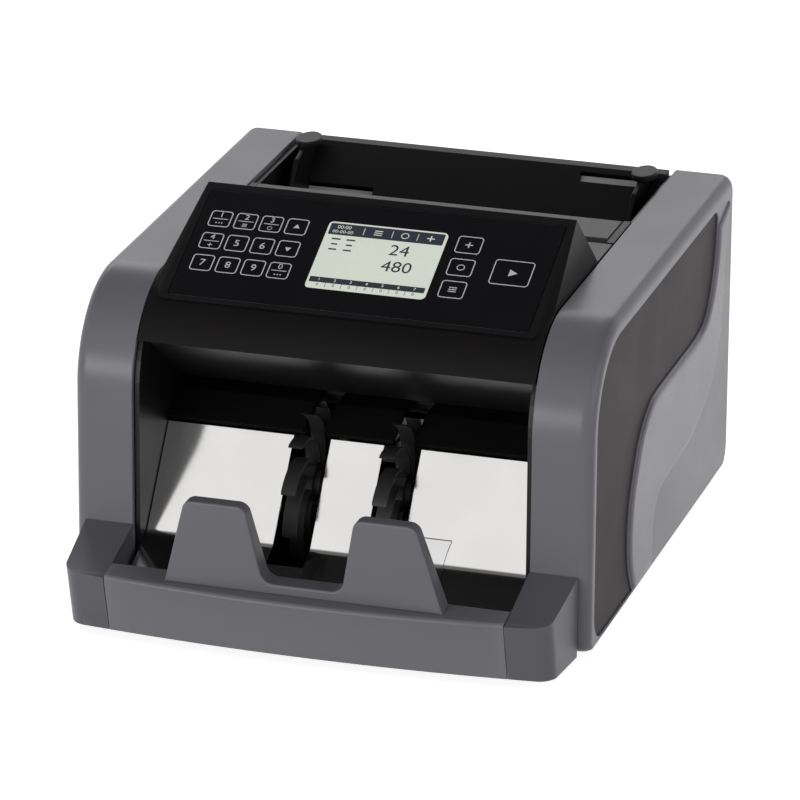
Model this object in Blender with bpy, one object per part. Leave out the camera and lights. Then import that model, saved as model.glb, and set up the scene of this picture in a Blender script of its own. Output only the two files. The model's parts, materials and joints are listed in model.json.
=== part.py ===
"""Banknote counter with its casing, console, hopper, note path, stacker and drive.

Every piece is drawn in the machine's own frame: X across, Y to the back from the flat fronts of the side
housings, Z up from the underside of the casing. An empty carries that frame, so that the finished machine
stands on the floor with its middle over the world's origin. Sizes are in metres and angles in degrees.
"""

import math

import bmesh
import bpy
from mathutils import Matrix, Vector

# Fits
SEAM = 0.0003
OVERRUN = 0.0020
SIDES = {-1: "left", 1: "right"}

# Casing
CASING_WIDTH = 0.2434
HOUSING_WIDTH = 0.0280
HOUSING_DEPTH = 0.2574
HOUSING_HEIGHT = 0.1480
HOUSING_WALL = 0.0025
SIDE_WALL = 0.0050
BROW_RADIUS = 0.0470
REAR_TOP_RADIUS = 0.0090
REAR_FOOT_RADIUS = 0.0120
FRONT_FOOT_RADIUS = 0.0080
EDGE_ROUND = 0.0060
LOW_ROUND_SHARE = 0.35
CASING_HALF = CASING_WIDTH / 2
BAY_HALF = CASING_HALF - HOUSING_WIDTH

# Dark insert and light swell on each side
INSERT_BORDER = 0.0090
INSERT_LOW_BORDER = 0.0026
INSERT_FOOT_RADIUS = 0.0140
INSERT_CORNER_RADIUS = 0.0060
INSERT_RECESS = 0.0030
INSERT_THICKNESS = 0.0017
SWELL_HEIGHT = 0.0014
SWELL_EDGE = 0.0030
SWELL_GAP = 0.0010
SWELL_FRONT_SHARES = (
    (0.872, 0.885), (0.858, 0.770), (0.827, 0.667), (0.779, 0.605), (0.700, 0.588), (0.583, 0.588),
    (0.435, 0.586), (0.381, 0.564), (0.333, 0.511), (0.296, 0.423), (0.266, 0.318), (0.258, 0.203),
    (0.268, 0.105), (0.297, 0.018),
)
SWELL_REAR_SHARES = (
    (0.953, 0.925), (0.929, 0.811), (0.915, 0.662), (0.898, 0.514), (0.855, 0.402), (0.787, 0.326),
    (0.695, 0.276), (0.583, 0.260), (0.490, 0.250), (0.443, 0.222), (0.424, 0.165), (0.416, 0.093),
    (0.413, 0.027),
)

# Front tray, fins and end caps
TRAY_REACH = 0.0486
TRAY_LEAN = 0.0101
TRAY_BOW = 0.0067
TRAY_FOOT_BOW = 0.0046
TRAY_EDGE_DROP = 0.0028
TRAY_HEIGHT = 0.0310
TRAY_DEPTH = 0.0197
TRAY_WALL = 0.0025
TRAY_EDGE_ROUND = 0.0014
SHELF_REAR_Y = -0.0020
SHELF_TOP = 0.0149
TRAY_SECTIONS = 10
FIN_RISE = 0.0410
FIN_VALLEY_RISE = 0.0037
FIN_OUTER_FOOT_X = 0.0650
FIN_OUTER_TOP_X = 0.0537
FIN_INNER_TOP_X = 0.0256
FIN_INNER_FOOT_X = 0.0183
FIN_TOP_RADIUS = 0.0050
FIN_VALLEY_RADIUS = 0.0060
FIN_FOOT_SETBACK = 0.0079
FIN_TOP_SETBACK = 0.0024
FIN_TOP_THICKNESS = 0.0082
FIN_EDGE = 0.0010
CAP_RISE = 0.0080
CAP_REAR_MARGIN = 0.0053
CAP_FRONT_MARGIN = 0.0075
CAP_CORNER_RADIUS = 0.0090
CAP_EDGE = 0.0009
TRAY_INNER_Y = TRAY_DEPTH - TRAY_REACH
TRAY_FOOT_REACH = TRAY_REACH - TRAY_LEAN
TRAY_EDGE_HEIGHT = TRAY_HEIGHT - TRAY_EDGE_DROP
FIN_HEIGHT = TRAY_HEIGHT + FIN_RISE
FIN_VALLEY_HEIGHT = TRAY_HEIGHT + FIN_VALLEY_RISE
FIN_FRONT_FOOT_Y = FIN_FOOT_SETBACK - TRAY_REACH
FIN_FRONT_TOP_Y = FIN_TOP_SETBACK - TRAY_REACH
FIN_BACK_TOP_Y = FIN_FRONT_TOP_Y + FIN_TOP_THICKNESS
CAP_REAR_X = CASING_HALF - CAP_REAR_MARGIN
CAP_FRONT_X = CASING_HALF - CAP_FRONT_MARGIN

# Base pan and feet
PAN_FRONT_GAP = 0.0029
PAN_REAR_MARGIN = 0.0109
PAN_FLOOR = 0.0025
PAN_VENT_COUNT = 8
PAN_VENT_PITCH = 0.0100
PAN_VENT_WIDTH = 0.0035
PAN_VENT_LENGTH = 0.0450
PAN_VENT_SHARE = 0.37
FOOT_HEIGHT = 0.0050
FOOT_RADIUS = 0.0095
FOOT_SIDE_MARGIN = 0.0177
FOOT_FRONT_Y = 0.0080
FOOT_REAR_MARGIN = 0.0274
PAN_FRONT_Y = TRAY_INNER_Y + PAN_FRONT_GAP
PAN_REAR_Y = HOUSING_DEPTH - PAN_REAR_MARGIN
PAN_RIM_HEIGHT = SHELF_TOP - TRAY_WALL - SEAM
PAN_VENT_Y = HOUSING_DEPTH * PAN_VENT_SHARE
FOOT_X = BAY_HALF - FOOT_SIDE_MARGIN
FOOT_REAR_Y = HOUSING_DEPTH - FOOT_REAR_MARGIN

# Visor and console
VISOR_DROP = 0.0230
VISOR_RETURN = 0.0060
CONSOLE_TOP_SHARE = 0.3582
CONSOLE_RISE = 0.0261
CONSOLE_SLOPE = 24.7
CONSOLE_LENGTH = 0.0789
CONSOLE_SIDE_MARGIN = 0.0057
CONSOLE_BACK_DEPTH = 0.0207
CONSOLE_WALL = 0.0036
PANEL_TOP_MARGIN = 0.0053
PANEL_SIDE_MARGIN = 0.0033
PANEL_LENGTH = 0.0700
PANEL_THICKNESS = 0.0010
PANEL_CORNER = 0.0020
DISPLAY_WIDTH = 0.0565
DISPLAY_HEIGHT = 0.0437
DISPLAY_X = 0.0043
DISPLAY_DOWN = 0.0396
DISPLAY_CORNER = 0.0022
DISPLAY_LEDGE = 0.0026
LCD_THICKNESS = 0.0035
LCD_BORDER = 0.0015
BOARD_THICKNESS = 0.0016
CONSOLE_BOARD_SIDE_MARGIN = 0.0127
CONSOLE_BOARD_TOP = 0.0110
CONSOLE_BOARD_LENGTH = 0.0480
VISOR_LIP_HEIGHT = HOUSING_HEIGHT - VISOR_DROP
CONSOLE_TOP_Y = HOUSING_DEPTH * CONSOLE_TOP_SHARE
CONSOLE_TOP_HEIGHT = HOUSING_HEIGHT + CONSOLE_RISE
CONSOLE_BACK_Y = CONSOLE_TOP_Y + CONSOLE_BACK_DEPTH
CONSOLE_HALF_WIDTH = BAY_HALF - CONSOLE_SIDE_MARGIN
PANEL_HALF_WIDTH = CONSOLE_HALF_WIDTH - PANEL_SIDE_MARGIN
CONSOLE_BOARD_HALF_WIDTH = PANEL_HALF_WIDTH - CONSOLE_BOARD_SIDE_MARGIN

# Top deck and hopper lip
DECK_GAP = 0.0023
DECK_SKIRT = 0.0100
LIP_FRONT_SHARE = 0.5478
LIP_OVERHANG = 0.0051
LIP_REAR_SHARE = 0.6468
LIP_SIDE_MARGIN = 0.0047
LIP_SKIRT = 0.0060
LIP_EDGE_RADIUS = 0.0032
LIP_FRONT_Y = HOUSING_DEPTH * LIP_FRONT_SHARE
LIP_REAR_Y = HOUSING_DEPTH * LIP_REAR_SHARE + LIP_OVERHANG
LIP_HALF_WIDTH = BAY_HALF - LIP_SIDE_MARGIN
DECK_REAR_Y = LIP_FRONT_Y - DECK_GAP

# Side frame plates
PLATE_THICKNESS = 0.0022

# Shafts, as places of their axes, and rollers
SHAFT_RADIUS = 0.0030
PATH_LEVEL = 0.0840
STACKER_DROP = 0.0320
TRANSPORT_PROUD = 0.0009
FEED_PROUD = 0.0016
STACKER_SHARE = 0.1554
TRANSPORT_SHARE = 0.3690
FEED_SHARE = 0.6060
PINCH_GAP = 0.0005
PINCH_TYRE = 0.0050
TRANSPORT_RADIUS = 0.0110
TRANSPORT_ROLLER_X = 0.0450
TRANSPORT_ROLLER_WIDTH = 0.0140
PINCH_ROLLER_WIDTH = 0.0100
FEED_RADIUS = 0.0180
FEED_ROLLER_X = 0.0220
FEED_ROLLER_WIDTH = 0.0150
PICKUP_RADIUS = 0.0140
PICKUP_ROLLER_X = 0.0290
PICKUP_ROLLER_WIDTH = 0.0130
PICKUP_PROUD = 0.0012
ROLLER_RIM = 0.0040
ROLLER_DISH = 0.0025
RETARD_RADIUS = 0.0090
RETARD_WIDTH = 0.0120
RETARD_GAP = 0.0006
RETARD_LEAD = 0.0030
ROLLER_SIDES = 24
SHAFT_SIDES = 16
PINCH_RADIUS = SHAFT_RADIUS + PINCH_TYRE
STACKER_AXIS = (HOUSING_DEPTH * STACKER_SHARE, PATH_LEVEL - STACKER_DROP)
TRANSPORT_AXIS = (HOUSING_DEPTH * TRANSPORT_SHARE, PATH_LEVEL + TRANSPORT_PROUD - TRANSPORT_RADIUS)
FEED_AXIS = (HOUSING_DEPTH * FEED_SHARE, PATH_LEVEL + FEED_PROUD - FEED_RADIUS)

# Stacker wheels
WHEEL_RADIUS = 0.0360
WHEEL_HUB_RADIUS = 0.0100
WHEEL_X = 0.0215
WHEEL_WIDTH = 0.0070
WHEEL_BLADES = 10
BLADE_THICKNESS = 0.0017
BLADE_SWEEP = 62.0
BLADE_STEPS = 5

# Stacker plate
STACK_TOP_SHARE = 0.1639
STACK_TOP_DROP = 0.0101
STACK_BEND_SHARE = 0.0389
STACK_BEND_RISE = 0.0161
STACK_FRONT_GAP = 0.0039
STACK_FRONT_RISE = 0.0016
STACK_THICKNESS = 0.0012
STACK_BEND_RADIUS = 0.0080
STACK_SLOT_WIDTH = 0.0176
STACK_TOP = (HOUSING_DEPTH * STACK_TOP_SHARE, PATH_LEVEL - STACK_TOP_DROP)
STACK_BEND = (HOUSING_DEPTH * STACK_BEND_SHARE, SHELF_TOP + STACK_BEND_RISE)
STACK_FRONT = (TRAY_INNER_Y + STACK_FRONT_GAP, SHELF_TOP + STACK_FRONT_RISE)

# Note path: lower guide and upper guide
PATH_THICKNESS = 0.0020
LOWER_GUIDE_SHARES = (0.1694, 0.2409, 0.5827, 0.6915, 0.7583)
LOWER_GUIDE_RISES = (-0.0080, -0.0006, 0.0000, 0.0025, 0.0112)
UPPER_GUIDE_SHARES = (0.0583, 0.2253, 0.2564, 0.5711, 0.6332, LIP_REAR_SHARE)
UPPER_GUIDE_FRONT_DROP = 0.0258
UPPER_GUIDE_RISES = (0.0070, 0.0040, 0.0032, 0.0080)
WHEEL_SLOT_WIDTH = 0.0100
ROLLER_SLOT_MARGIN = 0.0015

# Hopper feed plane, on which the notes lie, and the back of the hopper
FEED_PLANE_FOOT_SHARE = 0.7622
FEED_PLANE_FOOT_RISE = 0.0122
FEED_PLANE_HEAD_MARGIN = 0.0173
FEED_PLANE_HEAD_DROP = 0.0018
HOPPER_BACK_MARGIN = 0.0079
HOPPER_BACK_DROP = 0.0300
HOPPER_WALL = 0.0025
HOPPER_BACK_Y = HOUSING_DEPTH - HOPPER_BACK_MARGIN
HOPPER_BACK_FOOT = HOUSING_HEIGHT - HOPPER_BACK_DROP
FEED_PLANE_FOOT = (HOUSING_DEPTH * FEED_PLANE_FOOT_SHARE, PATH_LEVEL + FEED_PLANE_FOOT_RISE)
FEED_PLANE_HEAD = (HOUSING_DEPTH - FEED_PLANE_HEAD_MARGIN, HOUSING_HEIGHT - FEED_PLANE_HEAD_DROP)
FEED_PLANE_RUN = FEED_PLANE_HEAD[0] - FEED_PLANE_FOOT[0]
FEED_PLANE_RISE = FEED_PLANE_HEAD[1] - FEED_PLANE_FOOT[1]
FEED_PLANE_LENGTH = math.hypot(FEED_PLANE_RUN, FEED_PLANE_RISE)
FEED_PLANE_TILT = math.degrees(math.atan2(FEED_PLANE_RISE, FEED_PLANE_RUN))

# Hopper guides with their racks and pinion
GUIDE_SIDE_MARGIN = 0.0112
GUIDE_THICKNESS = 0.0022
GUIDE_TRAVEL = 0.0320
GUIDE_FOOT_SHARES = ((0.19, 0.19), (0.96, 0.96))
GUIDE_TOP_SHARES = ((0.611, 1.076), (0.315, 1.016), (0.110, 0.796), (0.030, 0.396))
GUIDE_LIFT = 0.0008
PAD_LENGTH = 0.0190
PAD_WIDTH = 0.0120
PAD_THICKNESS = 0.0030
PAD_SHARE = 0.793
PAD_RISE = 0.0014
STEM_LENGTH = 0.0040
STEM_CLEARANCE = 0.0006
RACK_THICKNESS = 0.0040
RACK_BACK = 0.0030
RACK_REACH = 0.0100
PINION_TEETH = 18
TOOTH_MODULE = 0.0008
TOOTH_ADDENDUM = 0.0007
TOOTH_DEDENDUM = 0.0010
TOOTH_BACKLASH = 0.0003
TOOTH_PRESSURE_ANGLE = 20.0
FLANK_STEPS = 3
RACK_CLEARANCE = 0.0016
RACK_HEAD_CLEARANCE = 0.0015
PINION_PIN_RADIUS = 0.0020
GUIDE_X = BAY_HALF - GUIDE_SIDE_MARGIN
PAD_Y = FEED_PLANE_FOOT[0] + FEED_PLANE_RUN * PAD_SHARE
PAD_BASE = HOUSING_HEIGHT + PAD_RISE
PITCH_RADIUS = PINION_TEETH * TOOTH_MODULE / 2
RACK_OUTER = PITCH_RADIUS + TOOTH_DEDENDUM + RACK_BACK
PINION_UP = PICKUP_RADIUS + RACK_CLEARANCE + RACK_OUTER
PICKUP_DISTANCE = FEED_PLANE_LENGTH - RACK_HEAD_CLEARANCE - RACK_OUTER - PINION_UP

# Retard bracket and adjusting knob
BRIDGE_HALF_WIDTH = 0.0330
BRIDGE_LENGTH = 0.0280
BRIDGE_RISE = 0.0220
BRIDGE_THICKNESS = 0.0040
CHEEK_THICKNESS = 0.0022
CHEEK_RISE = 0.0072
CHEEK_DEPTH = 0.0150
CHEEK_LEAD = 0.0070
CHEEK_CLEARANCE = 0.0006
RETARD_AXLE_RADIUS = 0.0020
KNOB_SHARE = 0.4934
KNOB_RADIUS = 0.0090
KNOB_HEIGHT = 0.0085
KNOB_FLUTES = 20
KNOB_FLUTE_DEPTH = 0.0005
SCREW_RADIUS = 0.0020
SCREW_END = 0.0020
BRIDGE_HEIGHT = PATH_LEVEL + BRIDGE_RISE
CHEEK_FOOT = PATH_LEVEL + CHEEK_RISE
CHEEK_FRONT_Y = FEED_AXIS[0] - CHEEK_LEAD
CHEEK_REAR_Y = CHEEK_FRONT_Y + CHEEK_DEPTH
BRIDGE_FRONT_Y = CHEEK_FRONT_Y - BRIDGE_LENGTH
KNOB_Y = HOUSING_DEPTH * KNOB_SHARE
SCREW_FOOT = BRIDGE_HEIGHT - SCREW_END

# Drive: motor, pulleys and belts, with the belts' planes counted outwards from the left plate
MOTOR_SHARE = 0.4662
MOTOR_LIFT = 0.0079
MOTOR_RADIUS = 0.0200
MOTOR_LENGTH = 0.0480
MOTOR_BOSS_RADIUS = 0.0080
MOTOR_CAP_LENGTH = 0.0030
MOTOR_SHAFT_RADIUS = 0.0025
BELT_PLANE_COUNT = 3
FLANGE_WIDTH = 0.0010
FLANGE_HEIGHT = 0.0020
PULLEY_DISTANCE = 0.0005
BELT_SIDE_CLEARANCE = 0.0003
BELT_THICKNESS = 0.0015
MOTOR_GROOVE_RADIUS = 0.0070
FEED_GROOVE_RADIUS = 0.0110
STACKER_GROOVE_RADIUS = 0.0140
PICKUP_GROOVE_RADIUS = 0.0090
BELT_END_CLEARANCE = 0.0035
BELT_STEPS = 10
BELT_PLANE_PITCH = (HOUSING_WIDTH - SIDE_WALL - BELT_END_CLEARANCE) / BELT_PLANE_COUNT
GROOVE_WIDTH = BELT_PLANE_PITCH - 2 * FLANGE_WIDTH - PULLEY_DISTANCE
BELT_WIDTH = GROOVE_WIDTH - 2 * BELT_SIDE_CLEARANCE
MOTOR_AXIS = (HOUSING_DEPTH * MOTOR_SHARE, PAN_RIM_HEIGHT + MOTOR_LIFT + MOTOR_RADIUS)

# Boards and power supply
BOARD_SIDE_MARGIN = 0.0070
BOARD_DISTANCE = 0.0080
BOARD_REAR_MARGIN = 0.0194
BOARD_DEPTH = 0.0600
BOARD_HEIGHT = 0.0090
BOARD_BOSS_RADIUS = 0.0030
BOARD_BOSS_INSET = 0.0060
SUPPLY_LENGTH = 0.0560
PART_HEIGHT = 0.0120
BOARD_REAR_Y = HOUSING_DEPTH - BOARD_REAR_MARGIN
BOARD_FRONT_Y = BOARD_REAR_Y - BOARD_DEPTH
SUPPLY_END = BAY_HALF - PLATE_THICKNESS - 2 * SEAM - BOARD_SIDE_MARGIN
SUPPLY_START = SUPPLY_END - SUPPLY_LENGTH
MAIN_BOARD_END = SUPPLY_START - BOARD_DISTANCE

# Rear door, rear panel, inlet and switch
REAR_FACE_MARGIN = 0.0081
REAR_THICKNESS = 0.0025
PANEL_TOP = 0.0469
DOOR_BARREL_RADIUS = 0.0020
DOOR_HEAD_GAP = 0.0008
DOOR_GAP = 0.0007
DOOR_PIN_RADIUS = 0.0014
DOOR_PIN_LENGTH = 0.0022
DOOR_GRIP_WIDTH = 0.0400
DOOR_GRIP_DEPTH = 0.0070
DOOR_RIB_COUNT = 6
DOOR_RIB_PITCH = 0.0260
DOOR_RIB_WIDTH = 0.0020
INLET_SIDE_MARGIN = 0.0337
INLET_Z = 0.0250
INLET_WIDTH = 0.0270
INLET_HEIGHT = 0.0198
INLET_FLANGE = 0.0020
INLET_FLANGE_THICKNESS = 0.0018
INLET_DEPTH = 0.0200
INLET_SOCKET_WIDTH = 0.0222
INLET_SOCKET_HEIGHT = 0.0145
INLET_SOCKET_DEPTH = 0.0150
INLET_CHAMFER = 0.0045
INLET_PIN_WIDTH = 0.0020
INLET_PIN_HEIGHT = 0.0040
INLET_PIN_LENGTH = 0.0120
INLET_PIN_PITCH = 0.0070
INLET_PIN_DROP = 0.0020
SWITCH_DISTANCE = 0.0310
SWITCH_WIDTH = 0.0130
SWITCH_HEIGHT = 0.0190
SWITCH_DEPTH = 0.0150
SWITCH_WALL = 0.0012
ROCKER_TILT = 10.0
ROCKER_DEPTH = 0.0075
ROCKER_SWING_CLEARANCE = 0.0014
VENT_COUNT = 7
VENT_PITCH = 0.0070
VENT_WIDTH = 0.0030
VENT_HEIGHT = 0.0240
VENT_SIDE_MARGIN = 0.0487
VENT_Z = 0.0250
REAR_FACE_Y = HOUSING_DEPTH - REAR_FACE_MARGIN
DOOR_TOP = HOPPER_BACK_FOOT - DOOR_HEAD_GAP
INLET_X = BAY_HALF - INLET_SIDE_MARGIN
SWITCH_X = INLET_X - SWITCH_DISTANCE
VENT_X = VENT_SIDE_MARGIN - BAY_HALF

# Clear note stops behind the fins
STOP_INNER_X = 0.0370
STOP_OUTER_X = 0.0610
STOP_THICKNESS = 0.0010
STOP_REACHES = (-0.0002, -0.0009, 0.0019, 0.0084, 0.0169)
STOP_RISES = (0.0025, 0.0090, 0.0150, 0.0200, 0.0230)


def material(name, colour, roughness, metallic=0.0):
    """A plain surface finish."""
    finish = bpy.data.materials.new(name)
    finish.use_nodes = True
    shader = finish.node_tree.nodes["Principled BSDF"]
    shader.inputs["Base Color"].default_value = (*colour, 1.0)
    shader.inputs["Roughness"].default_value = roughness
    shader.inputs["Metallic"].default_value = metallic
    finish.diffuse_color = (*colour, 1.0)
    return finish


def finishes():
    """All the surface finishes, by name."""
    return {
        "housing_grey": material("housing_grey", (0.20, 0.20, 0.215), 0.45),
        "cap_grey": material("cap_grey", (0.16, 0.16, 0.175), 0.45),
        "insert_grey": material("insert_grey", (0.055, 0.048, 0.050), 0.40),
        "satin_black": material("satin_black", (0.012, 0.011, 0.012), 0.35),
        "matt_black": material("matt_black", (0.010, 0.010, 0.010), 0.60),
        "gloss_black": material("gloss_black", (0.010, 0.010, 0.012), 0.12),
        "display_glass": material("display_glass", (0.62, 0.68, 0.62), 0.10),
        "polished_steel": material("polished_steel", (0.75, 0.75, 0.75), 0.12, 1.0),
        "plain_steel": material("plain_steel", (0.55, 0.55, 0.56), 0.35, 1.0),
        "rubber": material("rubber", (0.015, 0.015, 0.015), 0.80),
        "feed_rubber": material("feed_rubber", (0.10, 0.10, 0.11), 0.75),
        "clear_plastic": material("clear_plastic", (0.80, 0.82, 0.82), 0.08),
        "board_green": material("board_green", (0.02, 0.10, 0.04), 0.55),
        "gear_white": material("gear_white", (0.70, 0.70, 0.66), 0.45),
    }


def axis_point(axis, along, first, second):
    """A point from its place along one axis and its other two coordinates in order."""
    if axis == "x":
        return (along, first, second)
    if axis == "y":
        return (first, along, second)
    return (first, second, along)


def ring(axis, along, outline):
    """An outline laid square to an axis."""
    return [axis_point(axis, along, first, second) for first, second in outline]


def solid(name, points, faces):
    """One closed mesh with its faces turned outwards."""
    mesh = bpy.data.meshes.new(name)
    mesh.from_pydata(points, [], faces)
    shape = bmesh.new()
    shape.from_mesh(mesh)
    bmesh.ops.recalc_face_normals(shape, faces=shape.faces)
    shape.to_mesh(mesh)
    shape.free()
    piece = bpy.data.objects.new(name, mesh)
    bpy.context.scene.collection.objects.link(piece)
    return piece


def loft(name, rings):
    """A solid through rings of equal point count, closed by a face at each end."""
    count = len(rings[0])
    points = [point for one_ring in rings for point in one_ring]
    faces = [list(range(count)), list(range(len(points) - count, len(points)))]
    for row in range(len(rings) - 1):
        for i in range(count):
            j = (i + 1) % count
            low = row * count
            high = low + count
            faces.append((low + i, low + j, high + j, high + i))
    return solid(name, points, faces)


def prism(name, axis, outline, low, high):
    """An outline drawn out along an axis."""
    return loft(name, [ring(axis, low, outline), ring(axis, high, outline)])


def box(name, low, high):
    """A block between two opposite corners."""
    outline = [(low[0], low[1]), (high[0], low[1]), (high[0], high[1]), (low[0], high[1])]
    return prism(name, "z", outline, low[2], high[2])


def circle(radius, sides, centre=(0.0, 0.0)):
    """Points round a circle."""
    turns = [2 * math.pi * i / sides for i in range(sides)]
    return [(centre[0] + radius * math.cos(turn), centre[1] + radius * math.sin(turn)) for turn in turns]


def spindle(name, axis, stations, sides, centre=(0.0, 0.0)):
    """A turned solid from stations of place along the axis and radius."""
    return loft(name, [ring(axis, along, circle(radius, sides, centre)) for along, radius in stations])


def turned_ring(name, profile, sides):
    """A turned ring about X from a closed profile of place along the axis and radius."""
    points = []
    faces = []
    count = len(profile)
    for i in range(sides):
        turn = 2 * math.pi * i / sides
        for along, radius in profile:
            points.append((along, radius * math.cos(turn), radius * math.sin(turn)))
    for i in range(sides):
        for j in range(count):
            here = i * count
            there = (i + 1) % sides * count
            k = (j + 1) % count
            faces.append((here + j, here + k, there + k, there + j))
    return solid(name, points, faces)


def arc(centre, radii, start, end, steps):
    """Points along an elliptic arc between two angles."""
    points = []
    for i in range(steps + 1):
        turn = math.radians(start + (end - start) * i / steps)
        points.append((centre[0] + radii[0] * math.cos(turn), centre[1] + radii[1] * math.sin(turn)))
    return points


def smooth_line(points, steps):
    """A smooth curve through the points, with some steps between each two."""
    line = []
    for i in range(len(points) - 1):
        before = Vector(points[max(i - 1, 0)])
        start = Vector(points[i])
        end = Vector(points[i + 1])
        after = Vector(points[min(i + 2, len(points) - 1)])
        for step in range(steps):
            t = step / steps
            point = 2 * start + (end - before) * t
            point += (2 * before - 5 * start + 4 * end - after) * t ** 2
            point += (3 * start - before - 3 * end + after) * t ** 3
            line.append((point.x / 2, point.y / 2))
    line.append(points[-1])
    return line


def beside(points, distance, closed=False):
    """A line or closed outline moved to its left by a distance, with its corners kept sharp."""
    count = len(points)
    moved = []
    for i, point in enumerate(points):
        turns = []
        for j in (i - 1, i):
            if closed or 0 <= j < count - 1:
                run = Vector(points[(j + 1) % count]) - Vector(points[j % count])
                run.normalize()
                turns.append(Vector((-run.y, run.x)))
        if len(turns) == 2:
            shift = (turns[0] + turns[1]) / (1 + turns[0].dot(turns[1]))
        else:
            shift = turns[0]
        moved.append((point[0] + shift.x * distance, point[1] + shift.y * distance))
    return moved


def shrink(outline, distance):
    """A closed outline drawn in on all sides by a distance."""
    area = 0.0
    for i, (first, second) in enumerate(outline):
        next_first, next_second = outline[(i + 1) % len(outline)]
        area += first * next_second - next_first * second
    return beside(outline, distance if area > 0 else -distance, closed=True)


def sheet(points, thickness):
    """The outline of a bent sheet that lies to the left of a line."""
    return list(points) + list(reversed(beside(points, thickness)))


def round_corners(points, radii, steps):
    """An outline whose corners are rounded, each by its own radius."""
    count = len(points)
    outline = []
    for i, radius in enumerate(radii):
        corner = Vector(points[i])
        if radius == 0:
            outline.append(tuple(corner))
            continue
        back = (Vector(points[i - 1]) - corner).normalized()
        ahead = (Vector(points[(i + 1) % count]) - corner).normalized()
        half_angle = back.angle(ahead) / 2
        centre = corner + (back + ahead).normalized() * (radius / math.sin(half_angle))
        start = corner + back * (radius / math.tan(half_angle)) - centre
        end = corner + ahead * (radius / math.tan(half_angle)) - centre
        sweep = start.angle_signed(end)
        for step in range(steps + 1):
            outline.append(tuple(centre + Matrix.Rotation(-sweep * step / steps, 2) @ start))
    return outline


def rounded_box_outline(width, height, radius, centre=(0.0, 0.0), steps=3):
    """A rectangle with rounded corners."""
    half_width = width / 2
    half_height = height / 2
    corners = [(half_width, half_height), (-half_width, half_height), (-half_width, -half_height),
               (half_width, -half_height)]
    outline = round_corners(corners, [radius] * len(corners), steps)
    return [(first + centre[0], second + centre[1]) for first, second in outline]


def combine(body, tool, operation):
    """Cuts a tool from a body, or joins it on, and removes the tool."""
    step = body.modifiers.new(operation.lower(), "BOOLEAN")
    step.operation = operation
    step.solver = "EXACT"
    step.object = tool
    graph = bpy.context.evaluated_depsgraph_get()
    before = body.data
    body.data = bpy.data.meshes.new_from_object(body.evaluated_get(graph))
    body.modifiers.clear()
    bpy.data.meshes.remove(before)
    bpy.data.objects.remove(tool)
    return body


def cut(body, tool):
    """Cuts a tool from a body."""
    return combine(body, tool, "DIFFERENCE")


def join(body, tool):
    """Joins a tool onto a body."""
    return combine(body, tool, "UNION")


def soften(piece, width, segments, angle=35.0):
    """Rounds the edges of a piece that are sharper than an angle."""
    step = piece.modifiers.new("edges", "BEVEL")
    step.width = width
    step.segments = segments
    step.limit_method = "ANGLE"
    step.angle_limit = math.radians(angle)
    graph = bpy.context.evaluated_depsgraph_get()
    before = piece.data
    piece.data = bpy.data.meshes.new_from_object(piece.evaluated_get(graph))
    piece.modifiers.clear()
    bpy.data.meshes.remove(before)
    return piece


def finish(piece, surface, parent, location=(0.0, 0.0, 0.0), smooth=True):
    """Names the mesh, gives the piece its surface and sets it on its parent."""
    piece.data.name = piece.name
    piece.data.materials.clear()
    piece.data.materials.append(surface)
    if smooth:
        piece.data.shade_smooth()
        piece.data.set_sharp_from_angle(angle=math.radians(30.0))
    piece.parent = parent
    piece.location = location
    return piece


def guide_frame(name, parent, location, tilt):
    """An empty that carries a frame tilted about X."""
    frame = bpy.data.objects.new(name, None)
    bpy.context.scene.collection.objects.link(frame)
    frame.parent = parent
    frame.location = location
    frame.rotation_euler = (math.radians(tilt), 0.0, 0.0)
    return frame


def frame_matrix(location, tilt):
    """The matrix of a frame tilted about X, within the machine's frame."""
    return Matrix.Translation(location) @ Matrix.Rotation(math.radians(tilt), 4, "X")


def housing_outline(inset, low_inset=None):
    """The side outline of the casing drawn in by an inset, which may differ along the bottom."""
    low = inset if low_inset is None else low_inset
    foot_centre = (FRONT_FOOT_RADIUS, FRONT_FOOT_RADIUS)
    brow_centre = (BROW_RADIUS, HOUSING_HEIGHT - BROW_RADIUS)
    top_centre = (HOUSING_DEPTH - REAR_TOP_RADIUS, HOUSING_HEIGHT - REAR_TOP_RADIUS)
    rear_centre = (HOUSING_DEPTH - REAR_FOOT_RADIUS, REAR_FOOT_RADIUS)
    outline = arc(foot_centre, (FRONT_FOOT_RADIUS - inset, FRONT_FOOT_RADIUS - low), 270, 180, 3)
    outline += arc(brow_centre, (BROW_RADIUS - inset, BROW_RADIUS - inset), 180, 90, 14)
    outline += arc(top_centre, (REAR_TOP_RADIUS - inset, REAR_TOP_RADIUS - inset), 90, 0, 4)
    outline += arc(rear_centre, (REAR_FOOT_RADIUS - inset, REAR_FOOT_RADIUS - low), 0, -90, 4)
    return outline


def swell_line(shares):
    """A boundary of the swell, from its shares of the housing's depth and height."""
    points = [(HOUSING_DEPTH * along, HOUSING_HEIGHT * up) for along, up in shares]
    return smooth_line(points, 2)


def insert_outline():
    """The outline of the recess for the dark insert."""
    top = HOUSING_HEIGHT - INSERT_BORDER
    foot_centre = (INSERT_BORDER + INSERT_FOOT_RADIUS, INSERT_LOW_BORDER + INSERT_FOOT_RADIUS)
    brow_centre = (BROW_RADIUS, HOUSING_HEIGHT - BROW_RADIUS)
    brow = BROW_RADIUS - INSERT_BORDER
    edge = swell_line(SWELL_FRONT_SHARES)
    corner_centre = (edge[0][0] - INSERT_CORNER_RADIUS, top - INSERT_CORNER_RADIUS)
    outline = arc(foot_centre, (INSERT_FOOT_RADIUS, INSERT_FOOT_RADIUS), 270, 180, 5)
    outline += arc(brow_centre, (brow, brow), 180, 90, 10)
    outline += arc(corner_centre, (INSERT_CORNER_RADIUS, INSERT_CORNER_RADIUS), 90, 15, 3)
    return outline + edge[1:]


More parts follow.
